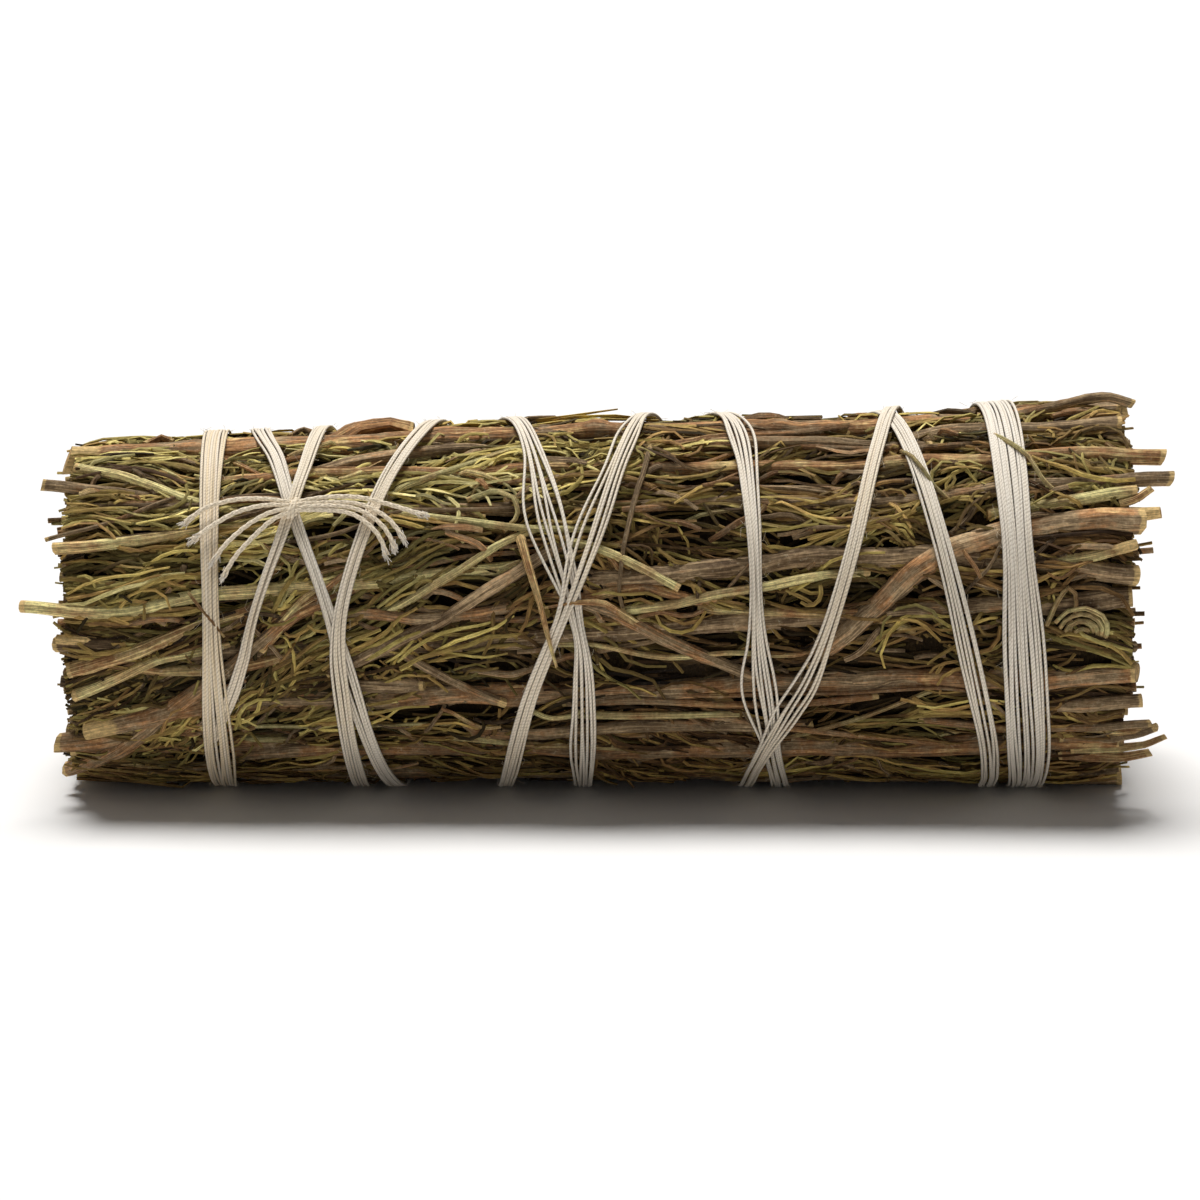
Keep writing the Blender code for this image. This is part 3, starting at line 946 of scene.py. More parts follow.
class CoverMap:
    """Where something lies on the bundle, as a grid of angle by X, 0 clear and 1 covered."""

    X0, DX, DA = -56.0, 0.25, 1.0  # the grid's first X, and its steps in mm and degrees
    MARGIN, FADE = 1.6, 0.6  # how far a mark reaches and how soon it fades, as factors on its size

    def __init__(self) -> None:
        """Makes a clear map."""
        self.cover = np.zeros((int(360 / self.DA), int(-2 * self.X0 / self.DX)))

    def _around(self, place: float, half: float, step: float) -> Array:
        """The grid's rows or columns near a place, before they are wrapped or clipped."""
        reach = int(math.ceil(self.MARGIN * half / step)) + 1
        return round(place / step) + np.arange(-reach, reach + 1)

    def stamp(self, x: float, degrees: float, half_x: float, half_degrees: float) -> None:
        """Marks an oval, with a margin that fades.

        Args:
            x: Its middle along the bundle.
            degrees: Its middle angle.
            half_x: Its half length along X.
            half_degrees: Its half height in degrees.
        """
        rows = self._around(degrees, half_degrees, self.DA) % self.cover.shape[0]
        columns = np.clip(self._around(x - self.X0, half_x, self.DX), 0, self.cover.shape[1] - 1)
        high = past(rows * self.DA, degrees)[:, None] / half_degrees
        far = np.hypot(high, (columns * self.DX + self.X0 - x)[None] / half_x)
        spot = np.ix_(rows, columns)
        self.cover[spot] = np.maximum(self.cover[spot], smoothstep((self.MARGIN - far) / self.FADE))

    def draw(self, route: HankRoute) -> None:
        """Marks a strip of thread."""
        for turned, x in zip(route.turned, route.x):
            self.stamp(x, turned, route.width / 2, 3.0)

    def at(self, x: Array, degrees: Array) -> Array:
        """The cover at places on the bundle."""
        row = np.rint((degrees % 360) / self.DA).astype(int) % self.cover.shape[0]
        column = np.clip(np.rint((x - self.X0) / self.DX).astype(int), 0, self.cover.shape[1] - 1)
        return self.cover[row, column]


@dataclass(frozen=True)
class Splay:
    """A place where the threads of the hank spread apart.

    Attributes:
        x: Its X.
        degrees: Its angle.
        reach: How far it goes, in mm.
        more: How much wider the strip gets, as a share.
    """

    x: float
    degrees: float
    reach: float
    more: float

    def at(self, x: Array, turned: Array) -> Array:
        """The extra width at places along a strip, as a share."""
        off = past(turned, self.degrees) * DEGREE
        return self.more * np.exp(-((x - self.x) ** 2 + off**2) / self.reach**2)


SPLAYS = (
    Splay(-4.8, 36, 6.5, 1.25), Splay(14.3, -17, 5, 0.9), Splay(12.4, 74, 5, 0.55), Splay(-21, -8, 5, 0.35),
    Splay(3, 74, 4.5, 0.4), Splay(21, -22, 5, 0.5), Splay(40, -5, 9, 0.3), Splay(39.5, 22, 6, -0.25),
    Splay(40.5, -42, 8, 0.3), Splay(-0.8, -40, 6, 0.4), Splay(-36.5, -45, 10, 0.22),
    Splay(-28, 30, 15, -0.28), Splay(-31, 8, 6, -0.3), Splay(14.6, 16, 6.5, -0.45), Splay(-1.2, 3, 3, -0.5),
    Splay(-12, 150, 7, 0.7), Splay(18, 205, 7, 0.8),
)


@dataclass
class Strands:
    """The separate threads of one strip of the hank.

    Attributes:
        name: The piece's name.
        node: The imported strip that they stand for.
        count: How many threads.
        width: How wide they lie together.
        warmth: How tinted they are.
        bundle: The bundle.
        route: The strip's way.
        over: The strip that this one rides over, if any.
    """

    name: str
    node: str
    count: int
    width: float
    warmth: float
    bundle: Bundle
    route: HankRoute
    over: HankRoute | None = None

    THREAD_R = 0.141
    REST = 0.36  # the threads' height over the bundle
    RIDE = 0.34  # how much higher they pass over another strip
    CROSSED = 2.6  # how far along X a crossing is felt
    TUCK = 0.3  # how much lower a strip's ends lie
    TUCK_START, TUCK_FADE = 22.0, 14.0  # degrees from an end
    PINCH = 0.35  # how much narrower a strip's ends are
    GATHER, GATHER_DEGREES = 0.13, 47.0  # how a strip widens and narrows as it goes
    WANDER, WANDER_DEGREES = 0.12, 40.0  # how far a thread wanders from its place
    STRAY = 0.6  # how far the first thread leaves a wide splay
    ROCK, ROCK_DEGREES = 0.05, 26.0  # how a thread rises and falls
    STEP_UP, HEAP = 0.04, 0.3  # how much every other thread lies higher, and more so in a narrow place
    FLOOR_DEGREES = 24.0  # how far up from the underside the threads keep off the floor
    RING_START = 190.0
    RING_LAP = 24.0

    def build(self, material: Material, rng: Rng) -> bpy.types.Object:
        """Winds the threads.

        Args:
            material: Their material.
            rng: The random numbers.

        Returns:
            The piece.
        """
        route = self.route
        fine = np.linspace(0, len(route.x) - 1, int(len(route.x) * 1.1))
        stations = np.arange(len(route.x))
        turned, x0 = np.interp(fine, stations, route.turned), np.interp(fine, stations, route.x)
        to_end = np.minimum(fine, fine[-1] - fine) * HankRoute.STEP
        tuck = smoothstep((self.TUCK_START - to_end) / self.TUCK_FADE)
        if route.closed:
            turned = self.RING_START + np.linspace(0, 360 + self.RING_LAP, len(fine))
            x0 = np.interp(turned % 360, np.append(route.turned, 360), np.append(route.x, route.x[0]))
            tuck = np.zeros_like(turned)
        ride = np.zeros(len(fine))
        if self.over is not None:
            ride = np.interp(fine, stations, route.crossing(self.over, self.CROSSED)) * self.RIDE
        splay = (1 + sum(s.at(x0, turned) for s in SPLAYS)) * (1 - self.PINCH * tuck)
        gather = 1 + self.GATHER * grain(turned / self.GATHER_DEGREES, 0.0, len(self.name) + 3.0)
        underneath = np.abs(past(turned, UNDERSIDE)) < self.FLOOR_DEGREES
        low = self.bundle.taut(x0, turned, self.bundle.base - self.THREAD_R)
        paths = []
        for index in range(self.count):
            seed = rng.uniform(0, 90)
            share = (index + 0.5) / self.count - 0.5
            wander = grain(turned / self.WANDER_DEGREES + seed, 0.0, seed)
            across = share * self.width * splay * gather
            across = across + self.WANDER * np.maximum(splay, 2 * splay - 1) * wander
            if index == 0 and not route.closed:
                across = across - self.STRAY * np.maximum(splay - 1.25, 0)
            rock = grain(turned / self.ROCK_DEGREES, seed, seed) + 1
            layer = self.STEP_UP * (index % 2) + self.ROCK * rock
            layer = layer + self.HEAP * (index % 3) * np.maximum(1 - splay, 0)
            height = self.bundle.taut(x0 + across, turned, self.REST + layer + ride - self.TUCK * tuck)
            height = np.where(underneath, np.minimum(height, low), height)
            paths.append(self.bundle.at(x0 + across, turned, height))
        ups = np.stack([self.bundle.out(turned)] * self.count)
        radius = self.THREAD_R * rng.uniform(0.92, 1.08, (self.count, 1))
        tint, phase = self.warmth * rng.uniform(0.5, 1.5, self.count), rng.uniform(0, 1, self.count)
        sweep = Sweep(self.name, 6, Lay.LONG)
        sweep.add(np.array(paths), ups, radius, radius, tint, shade=phase)
        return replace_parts(sweep.build(material), self.node)


# ---- stems


@dataclass(frozen=True)
class Stem:
    """A stem's course and looks.

    Attributes:
        name: The piece's name.
        course: Places along it, each (X, angle, depth of its outer side under the bundle's outside).
        radius: Its radius at its two ends.
        tone: Its place on the bark's colour ramp.
        shade: Its lightness, 0 to 1.
        rough: How ridged its bark is, 1 for most.
        node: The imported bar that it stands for, if any.
        peeled: How far each end is bare of bark, in mm.
    """

    name: str
    course: Places
    radius: tuple[float, float]
    tone: float
    shade: float = 0.5
    rough: float = 1.0
    node: str = ""
    peeled: tuple[float, float] = (0.35, 0.45)

    COURSE_DEGREE = 0.29  # mm that a degree counts for along a course
    RIDGES = (Ripple(0.085, 9, 0.2, 0), Ripple(0.07, 4, 0.45, 3), Ripple(0.05, 15, 0.9, 5))
    KNUCKLES = 13  # mm from one knuckle to the next
    KNUCKLE = 0.26  # a knuckle's height, as a share of the radius
    SWAY, SWAY_MM = 1.3, 7.0  # how far it wanders, in degrees, and the mm from bend to bend
    BOB = 0.10  # how far it rises and falls
    SWELL, SWELL_MM = 0.1, 4.5  # how its thickness changes, as a share, and the mm from one to the next
    PROUD = 0.12  # how far a depth of 0 stands out of the bundle
    SHOWN = 0.55  # a stem shows where it lies less deep than this
    FLOOR_GAP = 0.02
    SLANT = 0.45  # the steepest cut, as rise over run

    def _bark(self, sides: int, share: Array, seed: float) -> Array:
        """The bark's ridges and knuckles.

        Args:
            sides: Sides to the tube.
            share: The mm along at each station.
            seed: Picks its own bumps.

        Returns:
            A factor on the radius, station by side.
        """
        around, mm = np.arange(sides)[None] / sides, share[:, None]
        ridges = 1 + self.rough * sum(ripple.at(around, mm, seed) for ripple in self.RIDGES)
        for bump in range(int(share[-1] / self.KNUCKLES)):
            middle = (bump + 0.5 + 0.4 * math.sin(seed * 3 + bump * 2.1)) * self.KNUCKLES
            side = (math.sin(seed + bump * 5.3) + 1) / 2
            far = np.abs((around - side + 0.5) % 1 - 0.5) / 0.16
            ridges = ridges + self.KNUCKLE * self.rough * bell((mm - middle) / 0.9, far)
        return ridges

    def add_to(
        self, sweep: Sweep, bundle: Bundle, seed: float, step: float = 0.8, shown: CoverMap | None = None
    ) -> None:
        """Adds the stem's tube to a sweep.

        Args:
            sweep: The sweep.
            bundle: The bundle it lies on.
            seed: Picks its own bumps.
            step: The distance between stations.
            shown: A map that gets marked where the stem lies near the surface.
        """
        knots = np.array(self.course)
        reach = knot_lengths(knots, self.COURSE_DEGREE)
        share = np.linspace(0, reach[-1], max(6, int(reach[-1] / step)))
        x, degrees, depth = (soft_curve(reach, values, share) for values in knots.T)
        degrees = degrees + self.SWAY * grain(share / self.SWAY_MM, 0.0, seed + 11)
        radius = self.radius[0] + (self.radius[1] - self.radius[0]) * (share / reach[-1])
        if shown is not None:
            half = self.radius[0] * 0.8
            for place, angle, sunk in zip(x, degrees, depth):
                if sunk < self.SHOWN:
                    shown.stamp(place, angle, half, half / DEGREE)
        height = self.PROUD - radius - depth + self.BOB * grain(share / self.SWAY_MM, 0.0, seed + 13)
        paths = bundle.at(x, degrees, height)[None]
        swell = 1 + self.SWELL * self.rough * grain(share / self.SWELL_MM, 0.0, seed + 7)
        radius = (radius * swell)[None]
        paths[..., 2] += np.maximum(self.FLOOR_GAP - (paths[..., 2] - radius * 1.12), 0)
        bare = [p * (0.55 + 0.9 * abs(math.sin(seed * 3.7 + p))) for p in self.peeled]
        near = np.minimum(share / bare[0], (reach[-1] - share) / bare[1])
        peel = np.clip(1.15 - 0.75 * near, 0, 1)
        slope = (self.SLANT * math.sin(seed * 5.1), self.SLANT * math.sin(seed * 7.7))
        ups, ridges = bundle.out(degrees)[None], self._bark(sweep.sides, share, seed)
        sweep.add(paths, ups, radius, radius, self.tone, ridges, self.shade, peel, slope)


def lane_course(node: str, bundle: Bundle) -> tuple[Places, tuple[float, float]]:
    """Reads a packed bar from its sections.

    Args:
        node: The bar's node.
        bundle: The bundle it is part of.

    Returns:
        Its course, and its radius at both ends.
    """
    solid = Solid(node)
    low, high = solid.span
    course = []
    for x in np.linspace(low, high, 7):
        middle, radius = solid.section(float(x))
        dy, dz = middle[0] - bundle.axis_y, middle[1] - float(bundle.z(x))
        degrees = math.degrees(math.atan2(dz, -dy))
        depth = float(bundle.r(x)) - math.hypot(dy, dz) - radius
        course.append((float(x), degrees, depth))
    return tuple(course), (solid.section(low)[1], solid.section(high)[1])


# Stems on the front, whose course differs from the straight bar that they stand for.
FRONT_STEMS = (
    Stem("stem_low_front", ((-49.2, -48, 0.9), (-10, -47, 0.7), (4, -47, 0.1), (30, -46, 0.1),
     (49, -44, 0.3)), (1.15, 1.05), 0.5, 0.4, node="woody_stem_02"),
    Stem("stem_stub_left", ((-47.4, -35, -0.35), (-41, -28, -0.2), (-36, -23, 0.8), (-10, -22, 0.6),
     (4, -22, 0.9), (14, -20, 0.6), (24, -15, 0.75), (36, -17, 0.5), (49.9, -14, 0.3)), (1.15, 0.95), 0.48,
     0.52, node="woody_stem_03", peeled=(4.5, 0.8)),
    Stem("stem_middle_front", ((-48.6, -6, 1.2), (-20, -2, 0.9), (0, 1, 0.5), (10, 3, 0.25), (22, 5, 0.8),
     (49.3, 10, 0.3)), (0.85, 1.0), 0.3, 0.5, node="woody_stem_04"),
    Stem("stem_pale_left", ((-53.1, 12.6, 0), (-43.2, 11.5, 0), (-36.7, 17, 0.1), (-27, 19, 0.4),
     (-6, 24, 0.9)), (0.6, 0.75), 0.86, 0.72, 0.5, node="woody_stem_05"),
    Stem("stem_grey_middle", ((-1, 19, 0.7), (4, 20, 0.05), (19, 25, 0), (29, 27, 0.3), (37.5, 22, 0.7),
     (49.7, 17, 0.3)), (0.95, 1.0), 0.3, 0.55, 1.1, node="woody_stem_06"),
    Stem("stem_grey_stub", ((-51.7, 60, 0.1), (-46, 59, 0.2), (-40, 55, 0.8), (-34, 47, 0.9), (0, 44, 0.7),
     (30, 46, 0.3), (53.1, 48.5, 0.1)), (0.55, 0.68), 0.38, 0.5, node="woody_stem_07"),
    Stem("stem_pale_top", ((-47.5, 62, 1.1), (-40, 62, 0.9), (-33, 62, 0.3), (-25, 61, 0.1), (0, 62, 0.7),
     (30, 60, 0.2), (52.5, 57, 0)), (0.6, 0.8), 0.62, 0.6, 0.8, node="woody_stem_08"),
    Stem("stem_red_top", ((-49.8, 83, -0.1), (-36, 84, -0.1), (-24, 84, -0.15), (-14, 86, 0), (10, 88, 0.1),
     (49.2, 91, 0.1)), (1.25, 1.1), 0.52, 0.6, 1.2, node="woody_stem_09", peeled=(2.4, 0.8)),
)
# The other stems' tone and shade.
LANE_LOOKS = {
    "woody_stem_01": (0.36, 0.45), "woody_stem_10": (0.28, 0.5), "woody_stem_11": (0.56, 0.45),
    "woody_stem_12": (0.38, 0.6), "woody_stem_13": (0.24, 0.45), "woody_stem_14": (0.7, 0.6),
    "woody_stem_15": (0.34, 0.5),
}
# Side branches that lie over the rest on the front.
FRONT_BRANCHES = (
    Stem("tan_left", ((-50.1, 33.5, 0), (-46, 34.5, 0), (-36.7, 38.5, 0.2), (-30, 42, 0.8)), (0.62, 0.48),
     0.8, 0.72, 0.6),
    Stem("twig_left", ((-51, 35.5, -0.05), (-46, 42, 0), (-39.5, 51, 0.1), (-34, 57, 0.7)), (0.22, 0.2),
     0.4, 0.5, 0.3),
    Stem("pale_top_left", ((-48.8, 70, -0.1), (-44, 63.5, -0.1), (-38.2, 52.5, 0.1), (-33, 48, 0.9)),
     (0.5, 0.42), 0.84, 0.75, 0.6),
    Stem("bark_chunk", ((-25.2, 88, 0.2), (-22.6, 93, -0.8), (-19.5, 95, -1), (-17.2, 94, -0.2)),
     (0.75, 0.65), 0.6, 0.55, 2.6, peeled=(0.2, 0.2)),
    Stem("bark_chip_top", ((-29, 92, 0), (-27.8, 95, -0.5), (-26.6, 94, 0)), (0.4, 0.3), 0.45, 0.45, 2.4,
     peeled=(0.2, 0.2)),
    Stem("bark_chip_left", ((-42.6, 92, 0.1), (-41.2, 96, -0.4), (-40, 94, 0.1)), (0.4, 0.35), 0.56, 0.5,
     2.4, peeled=(0.2, 0.2)),
    Stem("tan_left_low", ((-48.8, -10, -0.1), (-42, -2, -0.1), (-36.7, 6, 0.1), (-29, 13, 0.9)),
     (0.7, 0.62), 0.7, 0.55, 1.0),
    Stem("pale_left", ((-48.3, -17, 0), (-44, -11, 0), (-40.4, -5, 0.2), (-34, 0, 0.9)), (0.55, 0.45), 0.84,
     0.68, 0.8),
    Stem("rough_left", ((-49.8, -64, 0.1), (-43.5, -41, 0), (-36.8, -16, 0), (-31.5, -1, 0.05),
     (-27.4, 11, 0.1), (-22, 19, 1)), (0.8, 0.7), 0.46, 0.55, 1.6),
    Stem("tan_knot", ((-31, -2, 0.8), (-29.2, 6, 0), (-27, 14, 0.1), (-24, 21, 0.9)), (0.6, 0.55), 0.72,
     0.62, 0.4),
    Stem("diagonal_left", ((-25, -13, 0.6), (-22, -7, 0), (-14.5, 5.7, 0), (-6.2, 24.6, 0),
     (-2.5, 32, 0.9)), (0.72, 0.62), 0.3, 0.6, 0.9),
    Stem("diagonal_middle", ((-4, 16, 0.8), (-0.7, 9.8, 0), (7, -1.5, -0.1), (14.7, -12.3, -0.1),
     (18.8, -15, 0), (27, -18, 0.9)), (0.64, 0.58), 0.42, 0.55, 1.3),
    Stem("red_right", ((19, -8, 0.9), (22.5, 0.3, 0.1), (29, 19, 0), (33, 27, 0), (37.5, 32, 0),
     (44, 34, 0), (50.1, 34.6, 0)), (1.0, 1.28), 0.46, 0.6, 1.1),
    Stem("green_1", ((-19.5, 50, 0.6), (-18, 53.5, 0), (-12, 62, 0), (-7, 70, 0.1), (-3, 75, 0.6)),
     (0.36, 0.3), 0.88, 0.6, 0.3),
    Stem("green_2", ((-20, 43, 0.6), (-18, 41.8, 0), (-10, 38, 0), (-4.3, 36, 0), (0, 35, 0.7)),
     (0.4, 0.34), 0.92, 0.62, 0.3),
    Stem("green_3", ((-21, 9, 0.7), (-18, 12, 0), (-13, 21, 0), (-8.9, 29.5, 0), (-4, 38, 0.8)),
     (0.42, 0.36), 0.86, 0.6, 0.3),
    Stem("green_4", ((-3, 32, 0.7), (-0.6, 29, 0), (3, 22.5, -0.4), (7.6, 14.2, -0.4)), (0.46, 0.4), 0.88,
     0.68, 0.4),
    Stem("pale_middle", ((1, 6, 0.8), (4, 9, 0), (11, 14.5, 0), (18.8, 18.5, 0), (25, 21, 0.8)),
     (0.5, 0.46), 0.8, 0.6, 0.4),
    Stem("pale_right", ((36, 38, 0.9), (42.9, 41, 0), (49.7, 41.8, -0.05)), (0.6, 0.62), 0.84, 0.66, 0.4),
    Stem("chip_right", ((48.8, 37.5, 0.6), (50.3, 37, 0.35), (52, 37.4, 0.2)), (0.6, 0.55), 0.95, 0.75, 1.4,
     peeled=(3.0, 3.0)),
    Stem("chip_right_top", ((48.2, 40, 0.5), (49.8, 41, 0.2), (51.2, 44, 0)), (0.4, 0.32), 0.72, 0.7, 1.2,
     peeled=(0.5, 1.0)),
    Stem("chip_left", ((-49.9, 3, 0.1), (-48.9, 2.6, 0.2), (-46, 1.5, 0.9)), (0.5, 0.6), 0.95, 0.7, 1.2,
     peeled=(3.0, 1.0)),
    Stem("brown_right", ((39, 20, 1.1), (45.3, 23, 0.2), (49.6, 25.5, 0)), (0.5, 0.62), 0.8, 0.68, 1.2,
     peeled=(0.3, 2.0)),
    Stem("low_right", ((30, -31, 0.8), (38, -34, 0.1), (46, -34, 0), (51.3, -32.5, 0)), (0.42, 0.38), 0.5,
     0.5, 0.6),
    Stem("low_middle", ((-12, -40, 0.8), (-6, -36, 0), (4, -33, 0), (13, -33, 0.1), (20, -36, 0.9)),
     (0.6, 0.6), 0.4, 0.5),
    Stem("low_pale", ((-3, -29, 0.7), (2, -27.5, 0), (9, -27, 0), (14, -28, 0.6)), (0.42, 0.3), 0.82, 0.55,
     0.4),
    Stem("low_left", ((-34, -52, 0.7), (-28, -46, 0), (-18, -44, 0), (-9, -47, 0.8)), (0.7, 0.62), 0.48,
     0.45),
    Stem("top_right", ((28, 77, 0.7), (33, 76, 0), (42, 74, 0), (49, 73, 0)), (0.8, 0.85), 0.34, 0.55),
    Stem("top_middle", ((8, 76, 0.8), (14, 74, 0), (22, 72, 0), (31, 72, 0.8)), (0.7, 0.7), 0.38, 0.5),
    Stem("top_arch", ((36, 84, 0.6), (41.5, 86, -0.2), (45.5, 87, -0.95), (48.2, 88, -1.03),
     (50.4, 90, -0.15)), (0.5, 0.44), 0.4, 0.6, 2.2, peeled=(0.3, 0.3)),
    Stem("loop_right", ((41.4, 2, 0.3), (42.2, 8.5, -0.1), (43.2, 13.8, -0.2), (44.1, 11.5, -0.2),
     (44, 6, 0), (43.3, 1.5, 0.5)), (0.24, 0.2), 0.8, 0.4, 0.2),
    Stem("loop_middle", ((-12, 47, 0.4), (-9.5, 50, 0), (-7.6, 47, -0.2), (-7.2, 41, -0.1),
     (-8.6, 36, 0.4)), (0.26, 0.22), 0.86, 0.55, 0.2),
    Stem("bent_right_1", ((43, -38, 0.4), (48, -40, 0), (50.3, -38, 0), (51.9, -34, -0.1)), (0.6, 0.4),
     0.42, 0.6, 1.8, peeled=(0.3, 0.3)),
    Stem("bent_right_2", ((44, -45, 0.4), (48.6, -44, 0), (51, -42, 0), (52.8, -37.5, 0)), (0.55, 0.3), 0.7,
     0.6, 1.8, peeled=(0.3, 0.3)),
    Stem("bent_right_3", ((43, -51, 0.5), (49, -49, 0), (51.6, -45.5, 0)), (0.6, 0.42), 0.6, 0.55, 1.8,
     peeled=(0.3, 0.3)),
    Stem("bent_right_4", ((44, -35, 0.6), (48.5, -37, 0.1), (51.2, -36.5, 0.1)), (0.5, 0.42), 0.8, 0.62,
     1.6, peeled=(0.3, 0.6)),
    Stem("splinter_left", ((-37.6, 17, -0.5), (-36.6, 12.5, -0.72), (-35.3, 7.5, -0.8), (-34.3, 3, -0.5)),
     (0.16, 0.12), 0.55, 0.45, 0.2),
    Stem("splinter_middle", ((-7, 31.5, -0.6), (-6.2, 21, -0.85), (-5.2, 9.5, -0.98), (-4.3, -1.5, -0.9),
     (-3.7, -8, -0.6)), (0.44, 0.13), 0.72, 1.0, 1.4),
    Stem("curved_twig", ((5, 68, 0.1), (4.4, 55, -0.25), (3.5, 44, -0.35), (2.4, 27, -0.2), (2, 14, -0.2),
     (2.5, 7, 0)), (0.32, 0.17), 0.34, 0.5, 1.0),
    Stem("twig_on_right_band", ((37, 67, -0.5), (38.4, 61, -0.85), (39.9, 55, -0.95), (41.2, 46, -0.6),
     (42.8, 42, 0.2)), (0.25, 0.22), 0.82, 0.5, 0.4),
    Stem("stub_middle", ((-17.8, -5, 0.8), (-16, -8, -0.1), (-12, -15, -0.2), (-8.5, -21.8, -0.1)),
     (0.5, 0.42), 0.4, 0.68, 1.2, peeled=(0.3, 0.9)),
    Stem("stub_dark", ((-24, -15.5, 0.9), (-20, -15, 0.2), (-15.9, -14.5, 0)), (0.75, 0.7), 0.3, 0.5, 1.8),
    Stem("curl_low", ((-6.5, -24, 0.2), (-4.5, -27, -0.2), (-2.5, -26, -0.25), (-0.8, -23, 0)),
     (0.26, 0.24), 0.95, 0.7, 0.4),
    Stem("bark_strip", ((-4.8, 9.6, -0.55), (-2, 11, -0.95), (0.6, 10.6, -0.85), (2.6, 6.5, -0.3),
     (4.8, 1.4, 0.5)), (0.12, 0.4), 0.6, 0.7, 1.8),
    Stem("end_left_low", ((-50.3, -41, 0.1), (-46, -40, 0.2), (-40, -38, 0.9)), (0.9, 0.8), 0.42, 0.5, 1.4),
    Stem("end_left_middle", ((-50, 1.5, 0.5), (-46, 0.5, 0.4), (-40, -1, 1.1)), (0.75, 0.8), 0.28, 0.55,
     1.3),
    Stem("end_right_low", ((41, -27, 0.8), (45, -26, 0.1), (50.4, -24.5, 0)), (0.6, 0.7), 0.4, 0.6, 1.5),
    Stem("twig_on_lacing", ((28.3, 62, -0.2), (29.3, 57, -0.8), (30.4, 51, -0.8), (31.3, 47, -0.2),
     (32.6, 44, 0.5)), (0.2, 0.18), 0.82, 0.45, 0.3),
)
STEM_END = 49  # how far out the drawn branches and the hollows reach
# More branches, drawn at random: (lowest angle, highest angle, least radius, greatest radius, how many).
DRAWN_BRANCHES = (
    (88, 265, 0.35, 0.95, 26),
    (-82, 15, 0.35, 0.75, 18),
    (72, 100, 0.35, 0.8, 9),
    (-80, 88, 0.18, 0.42, 26),
    (88, 280, 0.16, 0.35, 34),
)


def rosette(x: float, degrees: float) -> tuple[Stem, ...]:
    """Broad leaves curled one inside another.

    Args:
        x: Their middle along the bundle.
        degrees: Their middle angle.

    Returns:
        The leaves, as thin stems.
    """
    leaves = []
    for index, reach in enumerate((2.5, 2.0, 1.55, 1.1, 0.6)):
        turns = np.radians(np.array([168, 125, 85, 45, 5, -35]) + 9.0 * index)
        heights = (0.45, 0.0, -0.2, -0.3, -0.15, 0.35)
        course = tuple(
            (x + reach * math.cos(turn), degrees + 0.75 * reach * math.sin(turn) / DEGREE, height)
            for turn, height in zip(turns, heights)
        )
        leaves.append(Stem("curled_leaf", course, (0.22, 0.26), 0.92 - 0.05 * index, 0.62 - 0.1 * index, 0.5))
    return tuple(leaves)


def drawn_branch(rng: Rng, low: float, high: float, least: float, greatest: float) -> Stem:
    """A side branch with a course and looks drawn at random.

    Args:
        rng: The random numbers.
        low: The lowest angle of its middle.
        high: The highest.
        least: Its least radius.
        greatest: Its greatest.

    Returns:
        The branch.
    """
    length = rng.uniform(14, 42)
    start = rng.uniform(-STEM_END, STEM_END - length)
    slant, middle, radius = rng.normal(0, 0.45), rng.uniform(low, high), rng.uniform(least, greatest)
    bend = rng.normal(0, 2.2, 5)
    depth = np.array([0.9, 0.15, 0.0, 0.15, 0.9]) + rng.uniform(0.0, 0.9)
    if start < -44:
        depth[0] = depth[1]
    places = np.linspace(0, 1, 5)
    course = np.stack([start + length * places, middle + slant * length * (places - 0.5) + bend, depth], -1)
    tone, shade = float(rng.choice([0.2, 0.3, 0.38, 0.5, 0.58, 0.74, 0.88])), rng.uniform(0.35, 0.65)
    return Stem("branch", tuple(map(tuple, course)), (radius, radius * 0.85), tone, shade, 0.7)


def add_stems(bundle: Bundle, bark: Material, rng: Rng) -> CoverMap:
    """Every outer stem as its own piece, then the side branches together.

    Args:
        bundle: The bundle.
        bark: Their material.
        rng: The random numbers.

    Returns:
        Where they show on the surface.
    """
    shown = CoverMap()
    stems = list(FRONT_STEMS)
    for node, (tone, shade) in LANE_LOOKS.items():
        course, radii = lane_course(node, bundle)
        bend, sink = rng.normal(0, 2.2, len(course)), rng.uniform(-0.1, 0.75, len(course))
        course = tuple((x, degrees + b, depth + s) for (x, degrees, depth), b, s in zip(course, bend, sink))
        radii = tuple(radius * rng.uniform(0.82, 1.08) for radius in radii)
        stems.append(Stem(node.replace("woody_", ""), course, radii, tone, shade, node=node))
    for index, stem in enumerate(stems):
        sweep = Sweep(stem.name, 20, Lay.LONG, cut_ends=True)
        stem.add_to(sweep, bundle, 3.1 + index * 1.7, shown=shown)
        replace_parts(sweep.build(bark, 50), stem.node)
    branches = [*FRONT_BRANCHES, *rosette(44.6, 0.4)]
    for *limits, count in DRAWN_BRANCHES:
        branches += [drawn_branch(rng, *limits) for _ in range(count)]
    sweep = Sweep("side_branches", 8, Lay.SHORT, cut_ends=True)
    for index, stem in enumerate(branches):
        stem.add_to(sweep, bundle, 40.3 + index * 2.3, 0.7, shown)
    sweep.build(bark, 50)
    return shown


# ---- leaves


